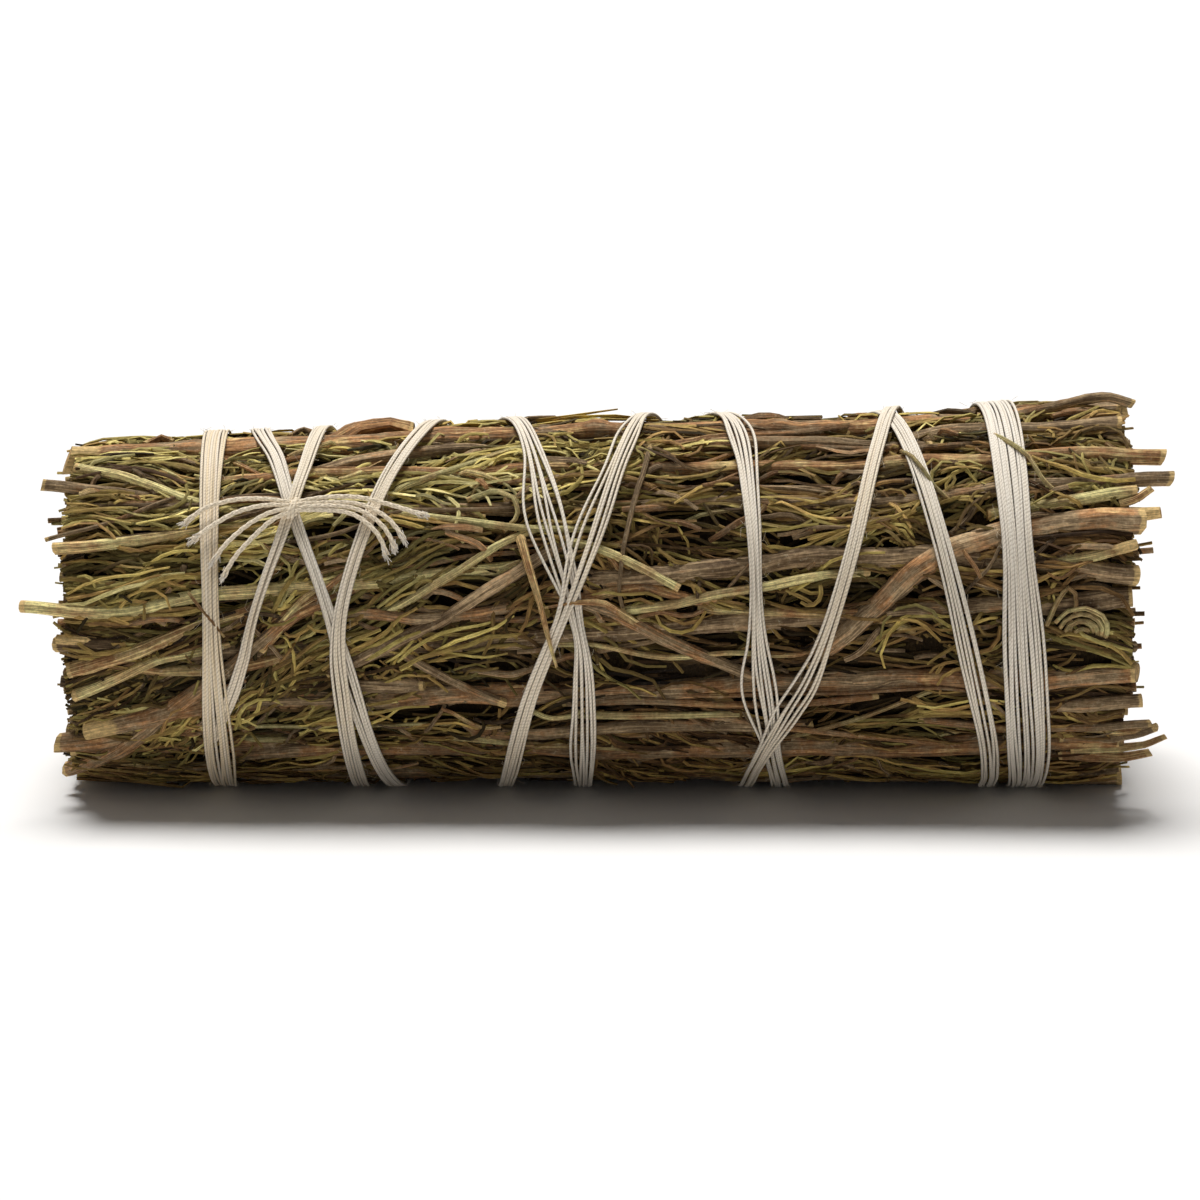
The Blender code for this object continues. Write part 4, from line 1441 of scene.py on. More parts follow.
@dataclass
class SprigLane:
    """The way that a packed sprig takes round and along the bundle.

    Attributes:
        x: Places along it.
        middle: Its middle angle at each.
        half: Half the angle that it fills.
    """

    x: Array
    middle: Array
    half: Array

    @classmethod
    def of(cls, node: str, bundle: Bundle) -> "SprigLane":
        """Reads a lane from a packed sprig's sections.

        Args:
            node: The sprig's node.
            bundle: The bundle it is part of.

        Returns:
            The lane.
        """
        solid = Solid(node)
        xs = np.linspace(solid.span[0] + 0.5, solid.span[1] - 0.5, 15)
        middles, halves = [], []
        for x in xs:
            cut = solid.crossings(solid.points[:, 0] - x)
            angles = np.degrees(np.arctan2(cut[:, 2] - bundle.z(x), bundle.axis_y - cut[:, 1]))
            angles = past(angles, angles[0]) + angles[0]
            middles.append((angles.min() + angles.max()) / 2)
            halves.append((angles.max() - angles.min()) / 2)
        return cls(xs, np.unwrap(np.array(middles), period=360), np.array(halves))


@dataclass(frozen=True)
class Habit:
    """How a kind of small growth lies.

    Attributes:
        each: How many grow in a tuft.
        length: Shortest and longest.
        wide: Least and greatest half width.
        slant: How much tufts turn off the bundle's length, in degrees.
        spread: How much the members of a tuft turn apart.
        curve: How much they bend, in degrees a mm.
        wave: How much they sway, in degrees.
        hooked: The share that has a hooked tip.
        forked: The share that has a side lobe.
        deep: How deep their roots lie.
        flat: Thickness over width.
        blunt: The tip's width over the widest.
    """

    each: int
    length: tuple[float, float]
    wide: tuple[float, float]
    slant: float
    spread: float
    curve: float
    wave: float
    hooked: float
    forked: float
    deep: float
    flat: float = 0.72
    blunt: float = 0.66


MATTED = Habit(8, (5.0, 14.0), (0.155, 0.23), 4.0, 5.0, 2.2, 7.0, 0.10, 0.28, 1.6)
CURLED = Habit(8, (2.5, 8.5), (0.15, 0.22), 16.0, 18.0, 16.0, 20.0, 0.45, 0.35, 1.5)
DEEP = Habit(8, (4.0, 12.0), (0.16, 0.23), 9.0, 10.0, 3.0, 12.0, 0.12, 0.1, 2.3)
BROKEN = Habit(1, (2.0, 7.0), (0.15, 0.34), 30.0, 0.0, 1.0, 3.0, 0.0, 0.0, 1.1, 0.9, 0.85)
SHRED = Habit(1, (2.0, 8.0), (0.18, 0.42), 14.0, 0.0, 3.0, 10.0, 0.0, 0.0, 0.6, 0.16, 0.3)
# Dark gaps on the front, where the growth lies deep and its leaves get painted shade, each (X, angle, half
# length, half angle).
HOLLOWS = (
    (-43.5, 3.5, 4, 2.6), (-44.5, -13, 3.5, 2.4), (-30, -36, 4.5, 2.4), (-17.5, 27, 2.6, 3),
    (-13, -18, 4, 3), (-6, -8, 3.5, 2.6), (6.5, -9, 4, 3.5), (3, 33, 3, 2.6), (9.5, 30, 3.5, 2.6),
    (15, 6, 4.5, 2.6), (24, -12, 4, 3), (33.5, 10, 4, 3.2), (34, 38, 3, 2.6), (43.5, -18, 3.5, 2.6),
    (42, 62, 4, 2.4), (20, 52, 3, 2.2), (-48.5, -32, 1.8, 2.2), (-32, -3, 2, 2.4), (-21.5, 16, 1.8, 3),
    (-34, 14, 3.2, 1.8), (-40, -46, 3.5, 2.2), (6, -4, 4.5, 2.6), (10, -15, 4, 2.6), (2.5, -30, 3.5, 2.2),
)
# Paler and darker places, partly the leaves' own colour and partly painted light and shade (the pale band
# along the underside is painted light), each (X, angle, reach, reach in degrees, change).
PATCHES = (
    (-16, 58, 13, 24, 0.13), (8, -12, 14, 16, -0.19), (-40, -10, 12, 15, -0.15), (-29, 45, 8, 14, 0.1),
    (-4, 70, 22, 14, 0.1), (8, -66, 50, 17, 0.13),
)


@dataclass
class Sprouts:
    """Small growths of one kind, each a place in every list.

    Attributes:
        x: Where each starts.
        degrees: Its angle there.
        depth: Its height over the surface there.
        way: 1 to grow to the right, -1 to the left.
        slant: Its heading, in degrees off the bundle's length.
        tone: Its place on its material's colour ramp.
        length: Its length.
        curve: How many degrees it bends a mm.
        hook: The extra bend at the tip, in degrees.
        wide: Its half width.
        shade: Its lightness, with painted shade in it, once that is known.
    """

    x: Array
    degrees: Array
    depth: Array
    way: Array
    slant: Array
    tone: Array
    length: Array
    curve: Array
    hook: Array
    wide: Array
    shade: Array | None = None


@dataclass
class Leaves:
    """Grows thin curled leaves in tufts, on the bundle's surface.

    Attributes:
        bundle: The bundle.
        threads: Where the thread presses them down.
        stems: Where stems show.
        hollows: Where the growth lies deep, and dark gaps show.
        rng: The random numbers.
    """

    bundle: Bundle
    threads: CoverMap
    stems: CoverMap
    hollows: CoverMap
    rng: Rng

    STATIONS = 7
    MIDDLE = 3  # the station halfway along
    ROOTS = 48.8  # how far out tufts start
    ROOM = 50.2  # how far out anything may start
    REACH = 50.5  # how far out anything may grow
    SIDE_LOBE = 0.85  # a lobe's width over its leaf's

    def tone_at(self, x: Array, degrees: Array) -> Array:
        """The usual colour of leaves at a place: greener to the left and on top, with painted shade low down.
        """
        level = np.sin(np.radians(degrees))
        tone = self.patches(x, degrees) + 0.35 + 0.17 * smoothstep((12 - x) / 44) + 0.08 * level
        tone = tone + 0.12 * grain(x / 14.0, degrees / 26.0, 4.0)
        # Painted shade: darker low on the bundle.
        return tone - 0.06 * smoothstep((-0.42 - level) / 0.35)

    def patches(self, x: Array, degrees: Array) -> Array:
        """How much paler or darker the leaves are at a place than elsewhere: partly their colour, partly
        painted light and shade.
        """
        return sum(
            change * bell((x - at_x) / reach, (degrees - angle) / reach_degrees)
            for at_x, angle, reach, reach_degrees, change in PATCHES
        )

    def end(self, side: Array, degrees: Array) -> Array:
        """How far out the growth reaches at one end, at an angle."""
        out = self.bundle.out(degrees) * float(self.bundle.radius.mean())
        return self.bundle.ragged(side, out[..., 1], out[..., 2])

    def density(self, x: Array, degrees: Array) -> Array:
        """The share of tufts that grow at a place: fewer to the right and below, and in patches."""
        level = np.sin(np.radians(degrees))
        patch = grain(x / 9.0 + 3.0, degrees / 21.0, 8.0)
        return np.clip(0.72 + 0.16 * level - 0.14 * np.clip(x / 40, -1, 1) + 0.3 * patch, 0.25, 1.0)

    def flow(self, x: Array, degrees: Array) -> Array:
        """Which way leaves lean at a place, in degrees, so that neighbours lie alike."""
        random = 34.0 * grain(x / 6.5, degrees / 15.0, 6.0) + 27.0 * grain(x / 3.2, degrees / 8.0, 16.0)
        fan = 33.0 * bell((x + 31) / 15, (degrees + 20) / 28)
        return random * (1 - fan / 40) + fan

    def _shades(self, depth: Array, x: Array, degrees: Array) -> Array:
        """How light leaves are: painted shade makes them darker where their roots are deep, and in hollows.

        Args:
            depth: Their roots' height over the surface.
            x: X at their middles.
            degrees: The angle there.

        Returns:
            Each leaf's lightness.
        """
        # 0.32 * depth paints shade on deeper leaves, and the hollows halve the lightness as painted shade.
        shade = 0.765 + 0.32 * depth + self.rng.normal(0.0, 0.20, len(depth)) + self.patches(x, degrees)
        shade = np.clip(shade + 0.24 * grain(x / 1.9, degrees / 5.0, 21.0), 0.02, 1.0)
        return shade * (1 - 0.5 * self.hollows.at(x, degrees))

    def grow(self, sweep: Sweep, lane: SprigLane, tufts: int, habit: Habit, ends: bool = False) -> None:
        """Adds one kind of growth in a lane, and the lobes of the forked ones.

        Args:
            sweep: Where it goes.
            lane: The lane.
            tufts: How many tufts.
            habit: How it lies.
            ends: Whether the tufts all start at the bundle's cut ends.
        """
        rng, each = self.rng, habit.each
        x = rng.uniform(-self.ROOTS, self.ROOTS, tufts)
        if ends:
            x = rng.choice([-1.0, 1.0], tufts) * rng.uniform(49.0, 49.4, tufts)
        middle, half = np.interp(x, lane.x, lane.middle), np.interp(x, lane.x, lane.half)
        degrees = middle + (half + 3.5) * rng.uniform(-1, 1, tufts)
        if ends:
            x = np.sign(x) * (self.end(np.sign(x), degrees) - rng.uniform(0.0, 0.4, tufts))
        depth = -habit.deep * (1 - 0.75 * rng.random(tufts) ** 1.4)
        way = np.where(rng.random(tufts) < 0.7, rng.choice([-1.0, 1.0]), 0.0)
        way = np.where(way == 0, rng.choice([-1.0, 1.0], tufts), way)
        way = np.where(np.abs(x) > 44, -np.sign(x), way)
        share = self.density(x, degrees) * (1 - 0.6 * self.hollows.at(x, degrees))
        kept = (rng.random(tufts) < share) | ends | (habit is DEEP)
        x, degrees, depth, way = x[kept], degrees[kept], depth[kept], way[kept]
        slant = rng.normal(0, habit.slant, len(x))
        tone = self.tone_at(x, degrees) + rng.normal(0, 0.09, len(x))
        count = len(x) * each

        def spread(values: Array, much: float) -> Array:
            """The tufts' values for each of their members, which differ."""
            return np.repeat(values, each) + rng.normal(0, much, count)

        grown = Sprouts(
            x=np.clip(np.repeat(x, each) if ends else spread(x, 1.2), -self.ROOM, self.ROOM),
            degrees=spread(degrees, 2.8),
            depth=np.minimum(spread(depth, 0.3), 0.1),
            way=np.repeat(way, each),
            slant=spread(slant, max(habit.spread, 1e-3)),
            tone=spread(tone, 0.10),
            length=rng.uniform(*habit.length, count),
            curve=rng.normal(0, habit.curve, count),
            hook=rng.choice([-1, 1], count)
            * rng.uniform(60, 190, count)
            * (rng.random(count) < habit.hooked),
            wide=rng.uniform(*habit.wide, count),
        )
        x, degrees, own, height = self._courses(grown, habit.wave)
        grown.shade = self._shades(grown.depth, x[:, self.MIDDLE], degrees[:, self.MIDDLE])
        self._sweep(sweep, x, degrees, height, grown, habit)
        forked = np.where(rng.random(count) < habit.forked)[0]
        if len(forked):
            start = forked, rng.integers(self.MIDDLE, 5, len(forked))
            turn = rng.choice([-1, 1], len(forked)) * rng.uniform(16, 38, len(forked))
            lobes = Sprouts(
                x=x[start],
                degrees=degrees[start],
                depth=height[start],
                way=grown.way[forked],
                slant=own[start] + turn,
                tone=grown.tone[forked],
                length=rng.uniform(1.4, 3.6, len(forked)),
                curve=rng.normal(0, 8, len(forked)),
                hook=np.zeros(len(forked)),
                wide=grown.wide[forked] * self.SIDE_LOBE,
                shade=grown.shade[forked],
            )
            x, degrees, own, height = self._courses(lobes, 4.0, lift=0.1)
            self._sweep(sweep, x, degrees, height, lobes, habit)

    def _courses(self, grown: Sprouts, wave: float, lift: float = 1.0) -> tuple[Array, Array, Array, Array]:
        """Walks leaves over the surface.

        Args:
            grown: Where and how they grow.
            wave: How far they sway, in degrees.
            lift: How much they rise and fall.

        Returns:
            X, angle, heading off the flow, and height at each station.
        """
        rng, count, way = self.rng, len(grown.x), grown.way

        def drawn(low: float, high: float) -> Array:
            """A random number for each leaf."""
            return rng.uniform(low, high, count)[:, None]

        def chosen(share: float) -> Array:
            """Whether each leaf is among a random share of them."""
            return (rng.random(count) < share)[:, None]

        room = self.end(way, grown.degrees) + rng.uniform(-0.35, 0.25, count) - grown.x * way
        hook = grown.hook * (room > grown.length + 1)
        slant = np.where(room > 3, grown.slant, np.clip(grown.slant, -12, 12))
        fits = room / np.maximum(np.cos(np.radians(slant)), 0.35)
        length = np.clip(np.minimum(grown.length, fits), 0.6, None)
        share = np.linspace(0, 1, self.STATIONS)[None]
        run = length[:, None] * share
        sway = wave * np.sin(run * drawn(0.5, 1.1) + drawn(0, 6.3))
        own = slant[:, None] + sway + grown.curve[:, None] * (run - 0.4 * length[:, None])
        own = own + hook[:, None] * smoothstep((share - 0.55) / 0.45)
        step = length / (self.STATIONS - 1)
        xs, angles, heading = [grown.x], [grown.degrees], own[:, 0] + self.flow(grown.x, grown.degrees) * way
        for station in range(1, self.STATIONS):
            turn = np.radians(heading)
            xs.append(np.clip(xs[-1] + np.cos(turn) * step * way, -self.REACH, self.REACH))
            angles.append(angles[-1] + np.degrees(np.sin(turn) * step / self.bundle.r(grown.x)))
            wanted = own[:, station] + self.flow(xs[-1], angles[-1]) * way
            heading = heading + np.clip(wanted - heading, -34, 34)
        xs, angles = np.stack(xs, 1), np.stack(angles, 1)
        rise = drawn(0.1, 1.0) * lift
        tip = rng.normal(0, 0.35, count)[:, None] * lift
        free = chosen(0.035) * drawn(0.4, 1.3) * lift
        height = grown.depth[:, None] + rise * smoothstep(share * 2.0) + tip * share**2
        sunken = np.where(chosen(0.16), 0.2, 1.25) * self.hollows.at(xs, angles)
        height = np.minimum(height, drawn(-0.1, 0.34) - sunken) + free * np.maximum(share - 0.35, 0) ** 1.4
        height = np.minimum(height, 1.0 - 1.7 * (chosen(0.79) * self.stems.at(xs, angles)))
        cover = self.threads.at(xs, angles)
        height = np.where(cover > 0.02, np.minimum(height, 0.06 + (1 - cover) * 0.5), height)
        return xs, angles, own, height

    def _sweep(
        self, sweep: Sweep, x: Array, degrees: Array, height: Array, grown: Sprouts, habit: Habit
    ) -> None:
        """Adds growth to the sweep.

        Args:
            sweep: The sweep.
            x: X at each station.
            degrees: The angle there.
            height: The height over the surface there.
            grown: The growth's widths and colours.
            habit: How it lies.
        """
        paths = self.bundle.at(x, degrees, height)
        paths[..., 2] = np.maximum(paths[..., 2], 0.3)
        share = np.linspace(0, 1, self.STATIONS)[None]
        root, tip = 0.8 + 0.2 * smoothstep(share * 4), smoothstep((share - 0.6) / 0.4)
        half = grown.wide[:, None] * (root * (1 - (1 - habit.blunt) * tip))
        roll = self.rng.uniform(-40, 40, len(half))[:, None]
        ups = self.bundle.out(degrees + roll)
        sweep.add(paths, ups, half, half * habit.flat, grown.tone, shade=grown.shade)


def hollow_places(seed: int) -> CoverMap:
    """Where dark gaps show between the stems: a few known ones on the front, and more all round.

    Args:
        seed: Picks the random ones.

    Returns:
        The map of them.
    """
    hollows = CoverMap()
    for hollow in HOLLOWS:
        hollows.stamp(*hollow)
    rng = np.random.default_rng(seed)
    for _ in range(150):
        half_x = rng.uniform(1.2, 4.2)
        x, degrees = rng.uniform(-STEM_END, STEM_END), rng.uniform(0, 360)
        hollows.stamp(x, degrees, half_x, half_x * rng.uniform(0.5, 1.3))
    return hollows


def add_leaves(bundle: Bundle, threads: CoverMap, stems: CoverMap, bark: Material) -> None:
    """A piece of leaves for each packed sprig, and the broken twigs among them.

    Args:
        bundle: The bundle.
        threads: Where thread lies.
        stems: Where stems show.
        bark: The twigs' material.
    """
    material = LEAF.material()
    leaves = Leaves(bundle, threads, stems, hollow_places(47), np.random.default_rng(7))
    thin = 1.0
    twigs = Sweep("broken_twigs", 6, Lay.LEAF, cut_ends=True)
    under = Sweep("deep_leaves", 3, Lay.LEAF)
    for number in range(1, 15):
        node = f"leafy_sprig_{number:02d}"
        lane = SprigLane.of(node, bundle)
        sweep = Sweep(f"leaves_{number:02d}", 4, Lay.LEAF)
        leaves.grow(under, lane, int(38 * thin), DEEP)
        leaves.grow(sweep, lane, int(22 * thin), MATTED)
        leaves.grow(sweep, lane, int(29 * thin), CURLED)
        leaves.grow(sweep, lane, int(9 * thin), MATTED, ends=True)
        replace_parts(sweep.build(material), node)
        leaves.grow(twigs, lane, int(44 * thin), BROKEN)
        leaves.grow(twigs, lane, int(10 * thin), SHRED)
    under.build(material)
    twigs.build(bark, 50)


# ---- the inside


@dataclass
class Inside:
    """What is packed inside the bundle, and shows at the cut ends and in the gaps.

    Attributes:
        bundle: The bundle.
        rng: The random numbers.
    """

    bundle: Bundle
    rng: Rng

    DEPTH = 2.1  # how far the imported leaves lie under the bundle's outside
    HALF_LENGTH = 48.5
    END = 48  # where the ends are measured
    UP = (0.0, 0.0, 1.0)
    TWIG_SIZES, BLADE_SIZES = (0.26, 0.8), (0.12, 0.25)
    CLOSE = 0.88  # how near cut twigs may stand, as a share of their radii
    BUMPS = (Ripple(0.55, 46, 0.16, 2.0), Ripple(0.35, 90, 0.42, 5.0), Ripple(0.4, 17, 0.1, 9.0))

    def add_litter(self) -> None:
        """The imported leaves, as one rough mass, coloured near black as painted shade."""
        sides, count = 110, 120
        x = np.linspace(-self.HALF_LENGTH, self.HALF_LENGTH, count)
        along = x[:, None]
        around = np.arange(sides)[None] / sides
        bumps = sum(ripple.at(around, along) for ripple in self.BUMPS)
        radius = self.bundle.r(x) - self.DEPTH
        paths = np.stack([x, np.full(count, self.bundle.axis_y), self.bundle.z(x)], -1)[None]
        sweep = Sweep("packed_leaves", sides, Lay.LONG, cut_ends=True)
        ups = np.broadcast_to(self.UP, paths.shape)
        sweep.add(paths, ups, radius, radius, 0.5, 1 + bumps / radius[:, None])
        made = sweep.build(LITTER_IN_PAINTED_SHADE.material(), 60)
        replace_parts(made, *nodes_called("inner_sprig"))

    def add_stems(self, bark: Material) -> Array:
        """The inner stems, as one piece.

        Args:
            bark: Their material.

        Returns:
            The angle, distance from the axis and radius of each at the cut ends, for packing.
        """
        nodes = nodes_called("inner_stem")
        sweep = Sweep("inner_stems", 14, Lay.LONG, cut_ends=True)
        taken = []
        for index, node in enumerate(nodes):
            course, radii = lane_course(node, self.bundle)
            tone = float(self.rng.choice([0.25, 0.35, 0.55, 0.75]))
            Stem(node, course, radii, tone).add_to(sweep, self.bundle, 77.0 + index, 2.4)
            reach = float(self.bundle.r(-self.END)) - course[0][2] - radii[0]
            taken.append((course[0][1], reach, radii[0] + 0.15))
        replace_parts(sweep.build(bark, 50), *nodes)
        return np.array(taken)

    def add_end_growth(self, bark: Material, leaf: Material, taken: Array) -> None:
        """Cut twigs and leaves that fill both ends between the stems.

        Args:
            bark: The twigs' material.
            leaf: The leaves' material.
            taken: The angle, distance from the axis and radius of each stem there.
        """
        rng = self.rng
        twigs = Sweep("end_twigs", 8, Lay.LEAF, cut_ends=True)
        blades = Sweep("end_leaves", 4, Lay.LEAF, cut_ends=True)
        kinds = ((twigs, 1500, self.TWIG_SIZES, 1.0), (blades, 8500, self.BLADE_SIZES, 0.8))
        turn = np.radians(taken[:, 0])
        for side in (-1.0, 1.0):
            centres = np.stack([-np.cos(turn) * taken[:, 1], np.sin(turn) * taken[:, 1]], -1)
            radii = taken[:, 2]
            room = float(self.bundle.r(side * self.END)) - 1.2
            for sweep, tries, sizes, out in kinds:
                for _ in range(tries):
                    radius = float(rng.uniform(*sizes))
                    reach = (room - radius) * math.sqrt(rng.random())
                    angle = rng.uniform(0, FULL_TURN)
                    spot = np.array([math.cos(angle), math.sin(angle)]) * reach
                    if (np.hypot(*(centres - spot).T) < (radii + radius) * self.CLOSE).any():
                        continue
                    centres, radii = np.vstack([centres, spot]), np.append(radii, radius)
                    self._stub(sweep, side, spot, radius, out)
        twigs.build(bark, 50)
        blades.build(leaf, 50)

    def _stub(self, sweep: Sweep, side: float, spot: Array, radius: float, out: float) -> None:
        """Adds one short cut length, from inside the bundle out to its end.

        Args:
            sweep: Where it goes.
            side: -1 at the left end, 1 at the right.
            spot: Its place from the axis.
            radius: Its radius.
            out: How far cut tips differ, as a factor.
        """
        rng = self.rng
        far = float(self.bundle.ragged(np.array(side), *spot)) - 0.4
        longer = rng.uniform(0.4, 1.7) * (rng.random() < 0.03 * out)
        tip = side * (far + out * rng.uniform(0.0, 0.7) + longer)
        x = np.linspace(side * (self.HALF_LENGTH - 1.0), tip, 2)
        drift = (x - x[0])[:, None] * rng.normal(0, 0.12, 2)[None] * side
        yz = spot[None] + drift + [self.bundle.axis_y, float(self.bundle.z(side * self.END))]
        path = np.column_stack([x, yz])[None]
        ridges = 1 + rng.uniform(-0.14, 0.14, sweep.sides)
        tone, shade = rng.uniform(0.2, 0.8), rng.uniform(0.2, 0.7)
        thick = radius * rng.uniform(0.6, 1.0)
        sweep.add(path, np.broadcast_to(self.UP, path.shape), radius, thick, tone, ridges, shade)


# ---- the knot

# Loose ends of the knot: (X, angle, height over the bundle) at places along each.
TAILS = (
    ((-28.3, 43.6, 1.9), (-30.6, 45.5, 1.75), (-33.4, 46.1, 1.55), (-36.2, 43.6, 1.5), (-38, 39.5, 1)),
    ((-28.2, 42.6, 1.9), (-30.6, 43.5, 1.7), (-33.2, 41.9, 1.5), (-35.6, 37.2, 1.45), (-37.3, 33.2, 1.1)),
    ((-28.2, 41.6, 1.9), (-30.2, 41.2, 1.6), (-32.3, 37.5, 1.25), (-34.3, 31.4, 1.2), (-35.4, 26.1, 0.9)),
    ((-28.1, 40.8, 1.85), (-29.8, 39.3, 1.5), (-31.5, 34.5, 1.1), (-33.3, 28, 1), (-34.4, 21.6, 0.8)),
    ((-27.8, 43.6, 1.9), (-25, 45.5, 1.75), (-22, 45.5, 1.55), (-18.8, 42.4, 1.3), (-15.9, 39.2, 0.95)),
    ((-27.7, 42.8, 1.95), (-25, 43.9, 1.6), (-22.1, 43.6, 1.45), (-19.9, 40.3, 1.25), (-18.4, 35.5, 1.1),
     (-17.8, 31.6, 0.85)),
    ((-27.7, 41.9, 1.9), (-25, 42.7, 1.65), (-22.4, 42.2, 1.4), (-20.5, 38.7, 1.2), (-19.1, 33.7, 1.05),
     (-18.6, 28.8, 0.8)),
    ((-27.8, 41, 1.85), (-25.2, 41.5, 1.5), (-22.8, 40.8, 1.35), (-21.1, 37.1, 1.15), (-19.8, 32.1, 1),
     (-19.4, 27, 0.8)),
)


@dataclass
class Knot:
    """The knot that ends the hank, with its loose tails.

    Attributes:
        bundle: The bundle it sits on.
        rng: The random numbers.
        at: Its X, angle and height over the bundle.
        half: Its half sizes along X, round the bundle and outward.
        ply: The radius of one ply.
        twist: The length of a turn of a tail's plies.
    """

    bundle: Bundle
    rng: Rng
    at: tuple[float, float, float] = (-28.0, 42.4, 1.5)
    half: tuple[float, float, float] = (0.3, 0.9, 0.5)
    ply: float = 0.135
    twist: float = 2.8

    # Every part of the knot gets peel 1, which leaves out the cotton's painted side shade.
    WRAPS = 4
    WRAP_R = 0.2
    PLIES = 3
    FRAYED = 40  # loose fibres at a tail's tip
    WARMTH = 0.65

    def build(self, material: Material) -> None:
        """Makes the wraps, the tails and their frayed tips as one piece.

        Args:
            material: The cotton.
        """
        sweep = Sweep("knot_and_tails", 7, Lay.SHORT)
        self._wraps(sweep)
        for index, tail in enumerate(TAILS):
            self._tail(sweep, np.array(tail), index)
        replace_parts(sweep.build(material), "thread_knot")

    def _wraps(self, sweep: Sweep) -> None:
        """Turns of thread round the knot.

        Args:
            sweep: Where they go.
        """
        x, degrees, height = self.at
        turn = np.linspace(0, FULL_TURN, 30)
        for index in range(self.WRAPS):
            offset = (index / (self.WRAPS - 1) - 0.5) * 2
            swell = math.sqrt(1 - 0.5 * offset**2)
            lean = self.rng.normal(0, 0.12) + 0.18
            around = self.half[1] * swell * np.sin(turn)
            out = self.half[2] * swell * np.cos(turn)
            across = offset * self.half[0] + lean * around
            paths = self.bundle.at(x + across, degrees + around / DEGREE, height + out)[None]
            ups = self.bundle.at(x + across, degrees + around * 2 / DEGREE, height + out * 2)[None] - paths
            sweep.add(paths, unit(ups), self.WRAP_R, self.WRAP_R, self.WARMTH, peel=1.0)

    def _tail(self, sweep: Sweep, knots: Array, index: int) -> None:
        """One tail: its plies twisted together, and its loose fibres.

        Args:
            sweep: Where it goes.
            knots: Its places.
            index: Its number.
        """
        reach = knot_lengths(knots, DEGREE)
        share = np.linspace(0, reach[-1], int(reach[-1] / 0.2))
        x, degrees, height = (soft_curve(reach, values, share, 0.09) for values in knots.T)
        middle = self.bundle.at(x, degrees, height)
        along = unit(np.gradient(middle, axis=0))
        out = self.bundle.out(degrees)
        side = unit(np.cross(along, out))
        up = np.cross(side, along)
        flare = smoothstep(share - reach[-1] + 1.0)
        spread = 0.1 * (1 + 1.3 * flare)
        radius = self.ply * (1 - 0.2 * flare)
        for ply in range(self.PLIES):
            turn = (share / self.twist + ply / self.PLIES) * FULL_TURN + index
            offset = side * (np.cos(turn) * spread)[:, None] + up * (np.sin(turn) * spread)[:, None]
            sweep.add((middle + offset)[None], out[None], radius, radius, self.WARMTH, peel=1.0)
        rng, count = self.rng, self.FRAYED
        start = middle[-5:][rng.integers(0, 5, count)] + rng.normal(0, 0.11, (count, 3))
        way = along[-1] + rng.normal(0, 0.24, (count, 3))
        length = rng.uniform(0.3, 0.8, count)
        steps = np.linspace(0, 1, 3)[None, :, None]
        paths = start[:, None] + unit(way)[:, None] * length[:, None, None] * steps
        paths = paths + rng.normal(0, 0.04, (count, 1, 3)) * steps**2
        thin = 0.045 * np.array([1.0, 0.9, 0.7])
        sweep.add(paths, np.broadcast_to(out[-1], paths.shape), thin, thin, 0.1, peel=1.0)


def add_fuzz(bundle: Bundle, routes: list[HankRoute], material: Material, rng: Rng) -> None:
    """Stray cotton fibres along the threads.

    Args:
        bundle: The bundle.
        routes: The strips of the hank.
        material: The cotton.
        rng: The random numbers.
    """
    sweep = Sweep("thread_fuzz", 3, Lay.LEAF)
    fibre_r = 0.014
    for route in routes:
        count = int(len(route.x) * (1.2 if route.closed else 0.9))
        spot = rng.integers(0, len(route.x), count)
        edge = rng.choice([-1.0, 1.0], count)
        x = route.x[spot] + edge * route.width * rng.uniform(0.25, 0.5, count)
        degrees = route.turned[spot] + rng.uniform(-2, 2, count)
        steps = np.linspace(0, 1, 3)[None]
        length = rng.uniform(0.4, 1.4, count)[:, None]
        heading = rng.uniform(-1.4, 1.4, count)[:, None] + rng.normal(0, 0.9, count)[:, None] * steps
        xs = x[:, None] + edge[:, None] * np.cos(heading) * length * steps * 0.6
        angles = degrees[:, None] + np.sin(heading) * length * steps / DEGREE
        height = 0.5 + rng.uniform(0, 0.5, count)[:, None] * steps
        paths = bundle.at(xs, angles, bundle.taut(xs, angles, height))
        paths[..., 2] = np.maximum(paths[..., 2], 0.1)
        sweep.add(paths, bundle.out(angles), fibre_r, fibre_r, 1.0)
    sweep.build(material)


# ---- the studio


def add_floor() -> None:
    """A pale floor."""
    bpy.ops.mesh.primitive_plane_add(size=60.0, location=(0, 0, 0))
    floor = bpy.context.object
    floor.name = "floor"
    paint = bpy.data.materials.new("floor_paint")
    paint.use_nodes = True
    shader = paint.node_tree.nodes["Principled BSDF"]
    shader.inputs["Base Color"].default_value = (0.78, 0.765, 0.745, 1.0)
    shader.inputs["Roughness"].default_value = 0.9
    floor.data.materials.append(paint)


def add_light() -> None:
    """Soft light from above and the front, and a white sky that is darker overhead."""
    world = bpy.data.worlds.new("studio")
    world.use_nodes = True
    n = Nodes(world.node_tree)
    parts = n.add("ShaderNodeSeparateXYZ", {0: n.add("ShaderNodeTexCoord").outputs["Generated"]})
    sky = n.ramp(parts.outputs[2], ((0.05, (1.0, 1.0, 1.0)), (0.12, (0.15, 0.15, 0.15))))
    n.feed(world.node_tree.nodes["Background"].inputs["Color"], sky)
    bpy.context.scene.world = world
    bpy.context.scene.view_settings.view_transform = "Standard"
    light = bpy.data.lights.new("overhead", "SUN")
    light.energy, light.angle = 4.1, math.radians(30.0)
    lamp = bpy.data.objects.new("overhead", light)
    lamp.rotation_euler = (math.radians(-17.0), math.radians(-5.0), 0.0)
    bpy.context.scene.collection.objects.link(lamp)


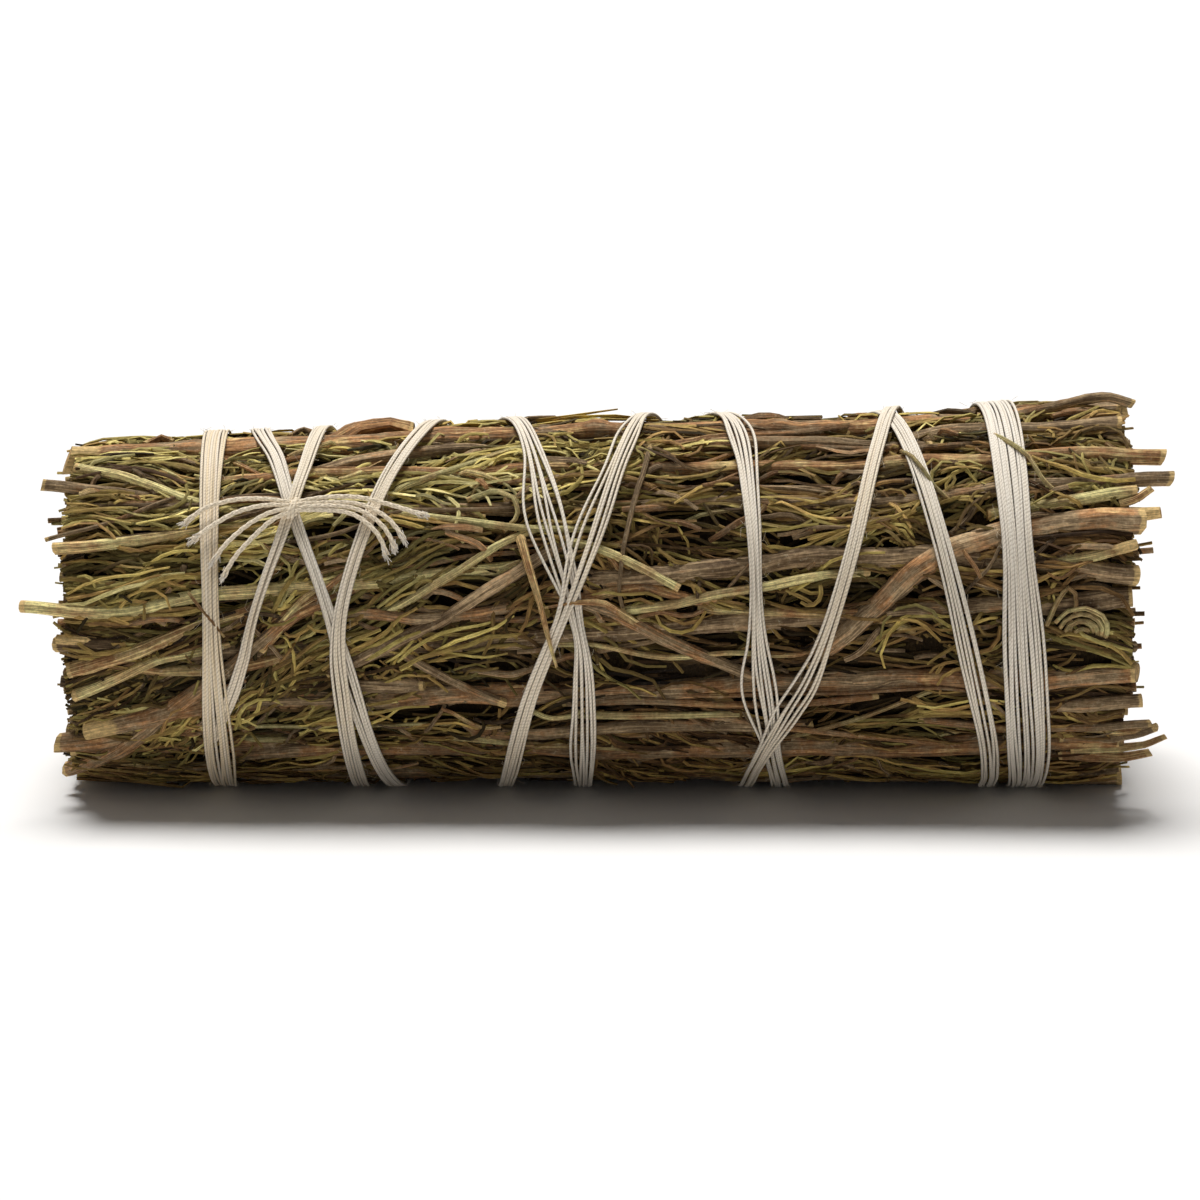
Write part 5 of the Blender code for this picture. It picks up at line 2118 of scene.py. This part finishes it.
def add_camera() -> None:
    """The camera, a little above the bundle and in front of it."""
    camera = bpy.data.cameras.new("camera")
    camera.lens, camera.sensor_width = 190.0, 36.0
    distance, rise = 0.600, math.radians(12.0)
    target = Vector((0.0003, 0.0, 0.0172))
    eye = bpy.data.objects.new("camera", camera)
    eye.location = target + distance * Vector((0, -math.cos(rise), math.sin(rise)))
    eye.rotation_euler = (target - eye.location).to_track_quat("-Z", "Y").to_euler()
    bpy.context.scene.collection.objects.link(eye)
    bpy.context.scene.camera = eye


def main() -> None:
    """Builds the smudge stick."""
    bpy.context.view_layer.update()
    bundle = Bundle.measured()
    rng = np.random.default_rng(20)
    cotton = THREAD.material()
    out = HankRoute.traced("thread_lacing_out", bundle).led(
        ((26, -35.6), (14, -34.2), (4, -33.2)), ((0, 36.8), (10, 36.7), (25, 37.3), (40, 38.8))
    )
    back = HankRoute.traced("thread_lacing_back", bundle).led(
        ((22, -35.9), (14, -35.0), (5, -34.0), (-2, -33.3)), ((6, 35.2), (16, 36.4), (26, 37.9))
    )
    left = HankRoute.traced("thread_band_left", bundle)
    right = HankRoute.traced("thread_band_right", bundle).nudged(85, 45, 0.65).nudged(-10, 35, -0.5)
    bark = BARK.material()
    threads = CoverMap()
    for route in (out, back, left, right):
        threads.draw(route)
    shown = add_stems(bundle, bark, rng)
    add_leaves(bundle, threads, shown, bark)
    inside = Inside(bundle, rng)
    inside.add_litter()
    taken = inside.add_stems(bark)
    inside.add_end_growth(bark, bpy.data.materials[LEAF.name], taken)
    Strands("lacing_out_threads", "thread_lacing_out", 7, 1.55, 0.3, bundle, out).build(cotton, rng)
    Strands("lacing_back_threads", "thread_lacing_back", 6, 1.4, 0.45, bundle, back, out).build(cotton, rng)
    Strands("left_band_threads", "thread_band_left", 10, 2.15, 0.9, bundle, left).build(cotton, rng)
    Strands("right_band_threads", "thread_band_right", 14, 3.1, 0.2, bundle, right).build(cotton, rng)
    Knot(bundle, rng).build(cotton)
    add_fuzz(bundle, [out, back, left, right], cotton, rng)
    add_floor()
    add_light()
    add_camera()


if __name__ == "__main__":
    logging.basicConfig(level=logging.INFO, format="%(message)s")
    main()
